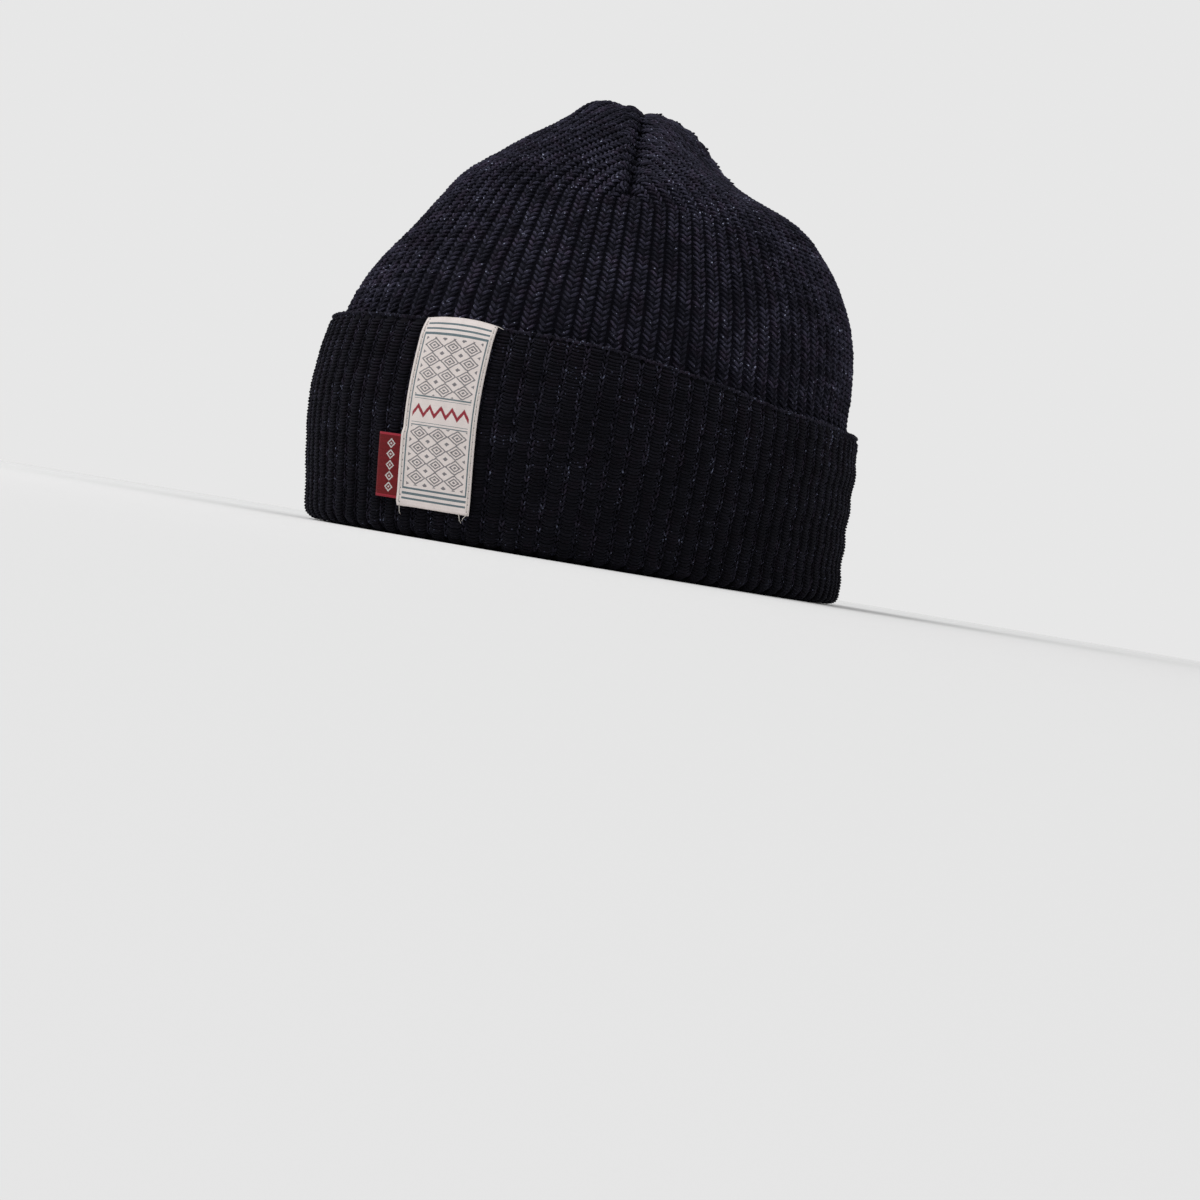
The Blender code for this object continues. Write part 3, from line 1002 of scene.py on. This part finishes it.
def build_crown_ground():
    """The closed wall that the crown's stitches lie on, ribbed outside and smoother inside."""
    first_shown = arc_at(CUFF_HEIGHT * min(row.height for row in CUFF_TURNS)) - 2 * COURSE
    arcs = np.concatenate((
        np.linspace(0.0, first_shown, UNDER_CUFF_ROWS, endpoint=False),
        np.linspace(first_shown, FULL_ARC, CROWN_ROWS),
    ))
    columns = RIBS_PER_GORE * RIB_COLUMNS
    last = len(arcs) - 1
    bm = bmesh.new()
    bm.loops.layers.uv.new("knit")
    for gore in range(GORES):

        def outside(column, row, gore=gore):
            phase = (column / RIB_COLUMNS) % 1.0 - 0.5
            shown = np.clip((arcs[row] - first_shown) / COURSE + 1.0, 0.0, 1.0)
            across = 2.0 * column / columns - 1.0
            relief = rib_relief(phase) * (1.0 + ROPE_DEEPENS * roping(across, arcs[row]))
            rise = (relief - GROUND_SINK) * shown
            return crown_places(gore, across, arcs[row], rise)

        def inside(column, row, gore=gore):
            low = row > INSIDE_ROWS
            phase = (column / RIB_COLUMNS) % 1.0 - 0.5
            arc = FULL_ARC * (1.0 - np.minimum(row, INSIDE_ROWS) / INSIDE_ROWS)
            rise = np.where(low, 0.0, INSIDE_RIBS * rib_relief(phase) - CROWN_WALL)
            spots = crown_places(gore, 2.0 * column / columns - 1.0, arc, rise)
            spots[row == INSIDE_ROWS, 2] = CROWN_FOOT
            return spots

        knit_grid(bm, columns, last, outside)
        knit_grid(bm, columns, INSIDE_ROWS + 1, inside)
    return worn(made_object("crown_ground", bm, CROWN_SHADED_GROUND), "crown_knit", "crown")


def build_cuff_ground():
    """The closed band that the cuff's stitches lie on, with its fold, its free edge and its inside."""
    columns = GORES * RIBS_PER_GORE * RIB_COLUMNS
    rows = CUFF_ROWS + CUFF_BACK_ROWS

    def place(column, row):
        row = row % rows
        turn = FIRST_DART_TURN + column / columns
        phase = (column / RIB_COLUMNS) % 1.0 - 0.5
        top = cuff_top(turn)
        share = np.clip(row / (CUFF_ROWS - 1), 0.0, 1.0)
        way = share * (cuff_way(turn) - YARN)
        valley = np.abs(2.0 * phase) ** RIB_SQUARENESS
        spots = cuff_places(turn, way, rib_relief(phase) - GROUND_SINK - valley * fold_notch(way))
        notch = -INSIDE_RIBS * rib_relief(phase)
        fold_side = cuff_inside(0.0) + CUFF_WALL
        edge_side = cuff_inside(1.0) + CUFF_WALL
        lean = edge_lean(turn, top)
        back = (
            (top - YARN, edge_side - CUFF_WALL / 2 - lean),
            (top - 2 * YARN, cuff_inside(1.0) - lean),
            (CUFF_HEIGHT / 2, cuff_inside(0.5)),
            (FOLD_THICKNESS, cuff_inside(0.0)),
            (FOLD_THICKNESS, -CROWN_WALL + notch),
            (FOLD_THICKNESS * 0.4, -CROWN_WALL + notch),
            (0.3 * notch, -CROWN_WALL / 2 + notch),
            (0.5 * notch, fold_side - FOLD_ROLL - YARN + cuff_swell(turn, 0.0)),
        )
        for index, (height, offset) in enumerate(back):
            here = row == CUFF_ROWS + index
            spots[here] = beside_crown(turn, height + 0 * turn, offset + 0 * turn)[here]
        return spots

    bm = bmesh.new()
    bm.loops.layers.uv.new("knit")
    knit_grid(bm, columns, rows, place)
    return worn(made_object("cuff_ground", bm, CUFF_SHADED_GROUND), "cuff_knit", "cuff")


def build_cuff_edge():
    """The chain of loops that finishes the cuff's free edge."""
    random = np.random.default_rng(EDGE_SEED)
    count = LOOPS_PER_RIB * GORES * RIBS_PER_GORE
    turn = FIRST_DART_TURN + np.arange(count) / count
    way = cuff_way(turn) - LOOP_BELOW_EDGE + random.uniform(-LOOP_ALONG, LOOP_ALONG, count) * COURSE
    rise = np.full(count, -LOOP_SINK)
    places, across, along = facing(lambda turn, way: cuff_places(turn, way, rise), turn, way, TURN_STEP)
    stretched = uneven_sizes(random, count)
    tone = random.uniform(*LOOP_TONES, count)
    return worn(laid("cuff_edge", LOOP, places, across, along, stretched, tone), "cuff_knit")


LEFT_LEG = stitch_object("left_leg", CROWN_LEG, YARN, YARN_SIDES, CROWN_YARN, mirrored=True)
RIGHT_LEG = stitch_object("right_leg", CROWN_LEG, YARN, YARN_SIDES, CROWN_YARN)
PURL = stitch_object("purl", CUFF_PURL, PURL_RADIUS, CUFF_YARN_SIDES, CUFF_YARN)
LEFT_WALE = stitch_object(
    "left_wale", CUFF_WALE_LEG, WALE_RADIUS, CUFF_YARN_SIDES, WALE_YARN, mirrored=True
)
RIGHT_WALE = stitch_object("right_wale", CUFF_WALE_LEG, WALE_RADIUS, CUFF_YARN_SIDES, WALE_YARN)
LOOP = stitch_object("edge_loop", EDGE_LOOP, YARN, YARN_SIDES, WALE_YARN)

build_crown_ground()
build_cuff_ground()
build_cuff_edge()
for gore in range(GORES):
    crown_stitches(gore)
    cuff_purls(gore)
    cuff_wales(gore)
for stitch in (LEFT_LEG, RIGHT_LEG, PURL, LEFT_WALE, RIGHT_WALE, LOOP):
    bpy.data.objects.remove(stitch, do_unlink=True)


# The label and the tab

def smooth_step(value, low, high):
    share = np.clip((value - low) / (high - low), 0.0, 1.0)
    return share * share * (3.0 - 2.0 * share)


def label_rise(across, way):
    """How the label lies: it takes the ribs' shape, lifts over the tab, and curls at its corners."""
    turn = LABEL_TURN + across / OVAL_PERIMETER
    rise = LABEL_PRINT_THROUGH * np.cos(2 * math.pi * GORES * RIBS_PER_GORE * (turn - FIRST_DART_TURN))
    from_left = across + LABEL_WIDTH / 2
    from_right = LABEL_WIDTH / 2 - across
    foot = TAB_ABOVE_LABEL_FOOT
    head = foot + TAB_LENGTH
    past_tab = smooth_step(way, head, head + LIFT_RAMP)
    over_tab = smooth_step(way, foot - LIFT_RAMP, foot) * (1.0 - past_tab)
    rise += LIFT_OVER_TAB * over_tab * bell(from_left, LIFT_REACH)
    left_curl = LEFT_CURL * bell(np.hypot(from_left, way), LIFT_REACH)
    rise += RIGHT_CURL * bell(np.hypot(from_right, way), RIGHT_CURL_REACH) + left_curl
    seams = bell(from_left - SEAM_INSET, SEAM_SINK_REACH) + bell(from_right - SEAM_INSET, SEAM_SINK_REACH)
    rise -= SEAM_SINK * seams
    over_edge = np.clip((way - LABEL_LENGTH) / EDGE_LEAN_REACH + 1.0, 0.0, 1.0) ** 2
    return rise - LABEL_TOP_LEAN * over_edge


def on_cuff(across, height, rise):
    """Points over the cuff beside the label's middle, at a way round and a height in metres."""
    side = cuff_inside(height / LABEL_TOP) + CUFF_WALL
    way_round = OVAL_PERIMETER * girth_at(arc_at(np.maximum(height, CROWN_FOOT))) + 2 * math.pi * side
    leaned = across - math.tan(math.radians(LABEL_LEAN)) * (height - LABEL_TOP / 2)
    return cuff_places(LABEL_TURN + leaned / way_round, height - FOLD_ROLL + FOLD_QUARTER, rise)


def label_places(across, way, rise):
    near_top = np.clip((way - LABEL_LENGTH) / LABEL_ARCH_REACH + 1.0, 0.0, PAST_EDGE) ** 2
    arched = way + LABEL_ARCH * near_top * (hump(across / LABEL_WIDTH + 0.5) - LABEL_ARCH_LEVEL)
    return on_cuff(across, LABEL_FOOT + arched, LAYER_GAP + label_rise(across, way) + rise)


def within(tree, value, centre, reach):
    """1 where the value is within reach of centre."""
    return math_node(tree, "COMPARE", value, centre, reach)


def over(tree, value, limit):
    """1 where the value is over the limit."""
    return math_node(tree, "GREATER_THAN", value, limit)


def either(tree, *masks):
    return functools.reduce(lambda first, second: math_node(tree, "MAXIMUM", first, second), masks)


def both(tree, *masks):
    return functools.reduce(lambda first, second: math_node(tree, "MULTIPLY", first, second), masks)


def metric(tree, width, length):
    """Millimetres across from the middle and along from the foot of a piece of cloth, by its UV map."""
    place = tree.nodes.new("ShaderNodeUVMap")
    place.uv_map = "cloth"
    split = tree.nodes.new("ShaderNodeSeparateXYZ")
    tree.links.new(place.outputs["UV"], split.inputs[0])
    width = width / MILLIMETRE
    across = math_node(tree, "MULTIPLY_ADD", split.outputs["X"], width, -width / 2)
    along = math_node(tree, "MULTIPLY", split.outputs["Y"], length / MILLIMETRE)
    return across, along


def woven_group():
    """Woven ribbon: each thread's own tone, and its rise over and under the others."""
    tree, given, result = node_group(
        "woven_ribbon", "ShaderNodeTree",
        {"Across": NUMBER, "Along": NUMBER, "Warp": NUMBER, "Weft": NUMBER},
        {"Thread across": NUMBER, "Thread along": NUMBER, "Tone": NUMBER, "Height": NUMBER},
    )
    across = math_node(tree, "SNAP", given["Across"], given["Warp"])
    along = math_node(tree, "SNAP", given["Along"], given["Weft"])
    cell = tree.nodes.new("ShaderNodeCombineXYZ")
    link_all(tree, (across, cell.inputs["X"]), (along, cell.inputs["Y"]))
    grain = tree.nodes.new("ShaderNodeTexWhiteNoise")
    grain.noise_dimensions = "2D"
    tree.links.new(cell.outputs[0], grain.inputs["Vector"])
    bars = tree.nodes.new("ShaderNodeTexWhiteNoise")
    bars.noise_dimensions = "1D"
    tree.links.new(along, bars.inputs["W"])
    tone = math_node(tree, "MULTIPLY_ADD", grain.outputs["Value"], 0.6, -0.3)
    tone = math_node(tree, "MULTIPLY_ADD", bars.outputs["Value"], 0.4, tone)
    waves = []
    for way, thread in (("Across", "Warp"), ("Along", "Weft")):
        turned = math_node(tree, "MULTIPLY", given[way], math_node(tree, "DIVIDE", math.pi, given[thread]))
        waves.append(math_node(tree, "SINE", turned))
    height = both(tree, *waves)
    link_all(
        tree, (across, result["Thread across"]), (along, result["Thread along"]), (tone, result["Tone"]),
        (height, result["Height"]),
    )
    return tree


WOVEN_RIBBON = woven_group()


def woven(tree, width, length, warp, weft):
    """The threads of a piece of ribbon of this size."""
    node = tree.nodes.new("ShaderNodeGroup")
    node.node_tree = WOVEN_RIBBON
    across, along = metric(tree, width, length)
    link_all(tree, (across, node.inputs["Across"]), (along, node.inputs["Along"]))
    set_inputs(node, {"Warp": warp, "Weft": weft})
    return node.outputs


def from_edges(tree, value, size, centred):
    """How far inside the nearer of two edges: value runs from -size/2 to size/2, or from 0 to size."""
    middle = 0.0 if centred else size / 2
    away = math_node(tree, "ABSOLUTE", math_node(tree, "SUBTRACT", value, middle))
    return math_node(tree, "SUBTRACT", size / 2, away)


def zigzag(tree, value, period):
    """0 at each end of a period and 1 at its middle."""
    share = math_node(tree, "FRACT", math_node(tree, "MULTIPLY_ADD", value, 1.0 / period, 50.5))
    from_middle = math_node(tree, "ABSOLUTE", math_node(tree, "MULTIPLY_ADD", share, 2.0, -1.0))
    return math_node(tree, "SUBTRACT", 1.0, from_middle)


def finish_cloth(tree, shader, color, threads, figures):
    """Gives cloth its colour, and its threads and raised figures their relief."""
    tree.links.new(color, shader.inputs["Base Color"])
    raised = math_node(tree, "MULTIPLY_ADD", figures, 0.8, threads["Height"])
    bumped(tree, shader, raised, 0.6, 0.00006)
    set_inputs(shader, {"Roughness": 0.75, "Specular IOR Level": 0.15, "Sheen Weight": 0.1})


def label_material():
    """Ecru damask with three slate stripes at each end, a frame line, small lozenges and a red zigzag.

    Lengths here are millimetres on the cloth.
    """
    width = LABEL_WIDTH / MILLIMETRE
    length = LABEL_LENGTH / MILLIMETRE
    stripes_at = (2.3, 3.9, 5.5)
    stripe_reach = 0.33
    frame_at = 1.6
    frame_reach = 0.25
    frame_end = 5.3
    field_side = 2.55
    field_end = 6.6
    band = 4.6
    row = (length / 2 - band - field_end - 0.3) / 4
    field_width = width - 2 * field_side
    wave_height = 2.7
    wave_reach = 0.74

    material, tree, shader = new_material("label_weave")
    threads = woven(tree, LABEL_WIDTH, LABEL_LENGTH, 0.19, 0.15)
    across, along = threads["Thread across"], threads["Thread along"]
    side = from_edges(tree, across, width, True)
    end = from_edges(tree, along, length, False)
    stripes = either(tree, *[within(tree, end, at, stripe_reach) for at in stripes_at])
    stripes = both(tree, over(tree, side, frame_at - frame_reach), stripes)
    frame_line = both(tree, within(tree, side, frame_at, frame_reach), over(tree, end, frame_end))

    field = both(tree, over(tree, side, field_side), over(tree, end, field_end))
    middle = math_node(tree, "SUBTRACT", along, length / 2)
    away = math_node(tree, "ABSOLUTE", middle)
    up_rows = math_node(tree, "SUBTRACT", away, band + row / 2 + 10 * row)
    lattice = math_node(tree, "ADD", zigzag(tree, across, field_width / 3), zigzag(tree, up_rows, row))
    lozenges = either(
        tree, within(tree, lattice, 1.06, 0.10), within(tree, lattice, 1.50, 0.10),
        over(tree, lattice, 1.82), math_node(tree, "LESS_THAN", lattice, 0.28),
    )
    lozenges = both(tree, lozenges, field, over(tree, away, band + 0.1))
    rules = either(tree, within(tree, away, band - 0.2, 0.20), within(tree, away, band - 1.0, 0.12))
    rules = both(tree, field, rules)
    zigzags = zigzag(tree, across, field_width / 5)
    wave = math_node(tree, "MULTIPLY_ADD", zigzags, wave_height, -wave_height / 2)
    waves = both(tree, field, within(tree, math_node(tree, "SUBTRACT", middle, wave), 0.0, wave_reach))

    hole = math_node(tree, "FRACT", math_node(tree, "MULTIPLY", along, MILLIMETRE / SEAM_STITCH))
    hole = within(tree, hole, 0.5, 0.09)
    holes = both(tree, hole, within(tree, side, SEAM_INSET / MILLIMETRE, 0.14))

    tone = threads["Tone"]
    place = tree.nodes.new("ShaderNodeTexCoord").outputs["Object"]
    stain = math_node(tree, "MULTIPLY", ramp(tree, noise(tree, place, 0.009, 3.0), 0.45, 0.75), 0.25)
    ecru = mixed(tree, tone, (0.83, 0.745, 0.715), (0.95, 0.875, 0.85))
    slate = mixed(tree, tone, (0.13, 0.18, 0.20), (0.22, 0.28, 0.30))
    faint = mixed(tree, tone, (0.19, 0.182, 0.19), (0.35, 0.335, 0.345))
    red = mixed(tree, tone, (0.30, 0.03, 0.045), (0.46, 0.06, 0.085))
    color = mixed(tree, stain, ecru, (0.76, 0.675, 0.64))
    color = mixed(tree, lozenges, color, faint)
    color = mixed(tree, either(tree, stripes, frame_line, rules), color, slate)
    color = mixed(tree, waves, color, red)
    color = mixed(tree, math_node(tree, "MULTIPLY", holes, 0.8), color, (0.10, 0.11, 0.12))
    finish_cloth(tree, shader, color, threads, either(tree, stripes, frame_line, lozenges, waves))
    return material


TAB_CLOTH_WIDTH = 2 * (TAB_REACH + TAB_UNDER_LABEL - TAB_FOLD - CLOTH) + math.pi * TAB_FOLD


def tab_material():
    """Red ribbon whose top and bottom edges are painted a brighter red as a painted highlight, with a row
    of small ecru lozenges, in millimetres on the cloth.
    """
    pitch = 3.3
    material, tree, shader = new_material("tab_weave")
    threads = woven(tree, TAB_CLOTH_WIDTH, TAB_LENGTH, 0.16, 0.13)
    across, along = threads["Thread across"], threads["Thread along"]
    length = TAB_LENGTH / MILLIMETRE
    shown_middle = (TAB_CLOTH_WIDTH / 2 - TAB_REACH / 2) / MILLIMETRE - 0.2
    end = from_edges(tree, along, length, False)
    # Painted highlight: the top and bottom edges of the tab get a brighter red
    painted_glint_edge = math_node(tree, "LESS_THAN", end, 0.75)
    apart = math_node(tree, "ABSOLUTE", math_node(tree, "ADD", across, -shown_middle))
    steps = zigzag(tree, math_node(tree, "SUBTRACT", along, length / 2), pitch)
    rung = math_node(tree, "MULTIPLY", math_node(tree, "SUBTRACT", 1.0, steps), pitch / 2)
    lozenge = math_node(tree, "ADD", apart, rung)
    marks = either(tree, within(tree, lozenge, 1.25, 0.27), math_node(tree, "LESS_THAN", lozenge, 0.42))
    marks = both(tree, marks, over(tree, end, 1.45))
    tone = threads["Tone"]
    glint_red = mixed(tree, tone, (0.33, 0.018, 0.035), (0.46, 0.04, 0.06))
    ecru = mixed(tree, tone, (0.56, 0.54, 0.52), (0.80, 0.78, 0.75))
    color = mixed(tree, tone, (0.125, 0.0045, 0.0065), (0.265, 0.011, 0.016))
    color = mixed(tree, painted_glint_edge, color, glint_red)
    color = mixed(tree, marks, color, ecru)
    finish_cloth(tree, shader, color, threads, marks)
    return material


def sheet_object(name, columns, rows, place, material):
    """A sheet of cloth that lies on places(column share, row share), with its thickness outwards."""
    bm = bmesh.new()
    bm.loops.layers.uv.new("cloth")
    knit_grid(bm, columns, rows, lambda column, row: place(column / columns, row / rows))
    sheet = made_object(name, bm, material, closed=False)
    wall = sheet.modifiers.new("Cloth thickness", "SOLIDIFY")
    wall.thickness = CLOTH
    wall.offset = 1.0
    return sheet


def build_label():
    def place(column, row):
        return label_places((column - 0.5) * LABEL_WIDTH, row * LABEL_LENGTH, 0 * row)

    label = sheet_object("label", LABEL_COLUMNS, LABEL_ROWS, place, label_material())
    worn(label, "label_weave", "woven_label")


def build_tab():
    """The ribbon comes out from under the label, folds back at its end, and goes under again."""
    layer = (TAB_CLOTH_WIDTH - math.pi * TAB_FOLD) / 2

    def place(column, row):
        way = column * TAB_CLOTH_WIDTH
        turned = np.clip((way - layer) / TAB_FOLD, 0.0, math.pi)
        straight = np.where(way < layer, layer - way, np.maximum(0.0, way - layer - math.pi * TAB_FOLD))
        across = -LABEL_WIDTH / 2 + TAB_UNDER_LABEL - layer + straight - TAB_FOLD * np.sin(turned)
        rise = TAB_OFF_CUFF - TAB_FOLD * np.cos(turned)
        height = LABEL_FOOT + TAB_ABOVE_LABEL_FOOT + row * TAB_LENGTH
        return on_cuff(across, height, rise)

    tab = sheet_object("tab", TAB_COLUMNS, TAB_ROWS, place, tab_material())
    worn(tab, "tab_weave", "side_tab")


def thread_material():
    material, tree, shader = new_material("sewing_thread")
    place = tree.nodes.new("ShaderNodeTexCoord").outputs["Object"]
    twist = noise(tree, place, 0.0003, 2.0)
    tree.links.new(mixed(tree, twist, (0.50, 0.47, 0.43), (0.74, 0.70, 0.65)), shader.inputs["Base Color"])
    shader.inputs["Roughness"].default_value = 0.7
    return material


SEAM_BENDS = (
    Bend(0.0, -0.55, -1.2, 0.8),
    Bend(0.0, -0.25, 0.9, 1.0),
    Bend(0.0, 0.25, 0.9, 1.0),
    Bend(0.0, 0.55, -1.2, 0.8),
)
TAIL_BENDS = (
    Bend(0.0, 0.0, 0.0, 1.0),
    Bend(0.06, 0.5, 3.5, 0.9),
    Bend(0.16, 1.0, 4.5, 0.8),
    Bend(0.20, 1.5, 3.0, 0.5),
)

# Loose ends of the sewing thread: where each starts, and which way it goes, in millimetres on the label
ThreadTail = namedtuple("ThreadTail", "across along toward_across toward_along")
THREAD_TAILS = (
    ThreadTail(-10.9, 0.2, 0.5, -1.0),
    ThreadTail(8.6, 0.1, 1.0, -0.8),
    ThreadTail(11.3, 0.6, -0.1, -1.0),
    ThreadTail(11.2, 58.4, 1.0, 0.2),
)


def laid_on_label(name, stitch, across, along, headings):
    """Sewing thread on the label. headings are the ways the stitches point, as arrows on the label."""
    random = np.random.default_rng(THREAD_SEED)
    lift = np.full(len(across), CLOTH + THREAD / 2)
    places, right, up = facing(
        lambda across, along: label_places(across, along, lift), across, along, WAY_STEP
    )
    forward = unit(right) * headings[:, :1] + unit(up) * headings[:, 1:]
    sideways = np.cross(forward, np.cross(unit(right), unit(up)))
    stretched = uneven_sizes(random, len(across))
    tone = random.uniform(0.0, 1.0, len(across))
    worn(laid(name, stitch, places, sideways, forward, stretched, tone), "label_weave")


def build_label_thread():
    thread = thread_material()
    steps = np.arange(0.5, LABEL_LENGTH / SEAM_STITCH - 0.8) * SEAM_STITCH
    sides = (-LABEL_WIDTH / 2 + SEAM_INSET, LABEL_WIDTH / 2 - SEAM_INSET)
    across = np.repeat(sides, len(steps))
    along = np.tile(steps, 2) + SEAM_STITCH / 2
    stitch = stitch_object("seam_stitch", SEAM_BENDS, THREAD, YARN_SIDES, thread)
    headings = np.tile((0.0, 1.0), (len(across), 1))
    laid_on_label("label_seams", stitch, across, along, headings)
    tail = stitch_object("thread_tail", TAIL_BENDS, THREAD, YARN_SIDES, thread)
    starts = np.array([(row.across, row.along) for row in THREAD_TAILS]) * MILLIMETRE
    headings = unit(np.array([(row.toward_across, row.toward_along) for row in THREAD_TAILS]))
    laid_on_label("thread_tails", tail, starts[:, 0], starts[:, 1], headings)
    for spare in (stitch, tail):
        bpy.data.objects.remove(spare, do_unlink=True)


build_label()
build_tab()
build_label_thread()


# The studio
CAMERA_AZIMUTH = 48.0
CAMERA_ELEVATION = -6.7
CAMERA_DISTANCE = 0.650
CAMERA_ROLL = 9.6
AIMED_AT = Vector((0.0, 0.0, 0.080))
PHOTO_SIZE = 1200
FOCAL_PIXELS = 1833.0
AIMED_PIXEL = (607.4, 335.9)
SENSOR = 36.0
FLOOR_RADIUS = 3.0
FLOOR_GAP = 0.0003


def way_to(azimuth, elevation):
    """The direction from the hat to what stands at this azimuth and elevation, in degrees."""
    turn = math.radians(azimuth)
    lift = math.radians(elevation)
    return Vector((math.sin(turn) * math.cos(lift), -math.cos(turn) * math.cos(lift), math.sin(lift)))


def build_camera():
    back = way_to(CAMERA_AZIMUTH, CAMERA_ELEVATION)
    right = way_to(CAMERA_AZIMUTH + 90.0, 0.0)
    turned = Matrix((right, back.cross(right), back)).transposed()
    turned = turned @ Matrix.Rotation(math.radians(CAMERA_ROLL), 3, "Z")
    pitch = math.atan2(PHOTO_SIZE / 2 - AIMED_PIXEL[1], FOCAL_PIXELS)
    yaw = math.atan2(AIMED_PIXEL[0] - PHOTO_SIZE / 2, FOCAL_PIXELS)
    turned = turned @ Matrix.Rotation(-pitch, 3, "X") @ Matrix.Rotation(yaw, 3, "Y")
    lens = bpy.data.cameras.new("camera")
    lens.sensor_width = SENSOR
    lens.lens = FOCAL_PIXELS / PHOTO_SIZE * SENSOR
    lens.clip_start = 0.01
    camera = in_scene("camera", lens)
    camera.matrix_world = Matrix.Translation(AIMED_AT + back * CAMERA_DISTANCE) @ turned.to_4x4()
    bpy.context.scene.camera = camera


def build_light(name, azimuth, elevation, distance, size, power):
    """A square soft light that faces the hat."""
    light = bpy.data.lights.new(name, "AREA")
    light.shape = "SQUARE"
    light.size = size
    light.energy = power
    back = way_to(azimuth, elevation)
    turned = back.to_track_quat("Z", "Y").to_matrix().to_4x4()
    in_scene(name, light).matrix_world = Matrix.Translation(AIMED_AT + back * distance) @ turned


def build_floor():
    """A pale floor that fades into the backdrop's own colour away from the hat."""
    material, tree, shader = new_material("pale_floor")
    set_inputs(shader, {"Base Color": (0.88, 0.88, 0.88), "Roughness": 0.9, "Specular IOR Level": 0.1})
    place = tree.nodes.new("ShaderNodeTexCoord").outputs["Object"]
    distance = tree.nodes.new("ShaderNodeVectorMath")
    distance.operation = "LENGTH"
    tree.links.new(place, distance.inputs[0])
    near = math_node(tree, "SUBTRACT", 1.0, ramp(tree, distance.outputs["Value"], 0.14, 0.9))
    tree.links.new(near, shader.inputs["Alpha"])
    bm = bmesh.new()
    under_hat = Matrix.Translation((0.0, 0.0, -FLOOR_GAP))
    bmesh.ops.create_circle(bm, cap_ends=True, segments=96, radius=FLOOR_RADIUS, matrix=under_hat)
    in_scene("floor", mesh_of("floor", bm, material))


def build_world():
    world = bpy.data.worlds.new("studio")
    world.use_nodes = True
    tree = world.node_tree
    background = tree.nodes["Background"]
    seen = tree.nodes.new("ShaderNodeLightPath").outputs["Is Camera Ray"]
    tree.links.new(mixed(tree, seen, (0.50, 0.50, 0.50), (0.80, 0.80, 0.80)), background.inputs["Color"])
    bpy.context.scene.world = world
    bpy.context.scene.view_settings.view_transform = "Standard"


build_camera()
build_light("key", -25.0, 50.0, 1.3, 1.0, 9.5)
build_light("rim", 120.0, 30.0, 1.6, 1.0, 3.0)
build_floor()
build_world()
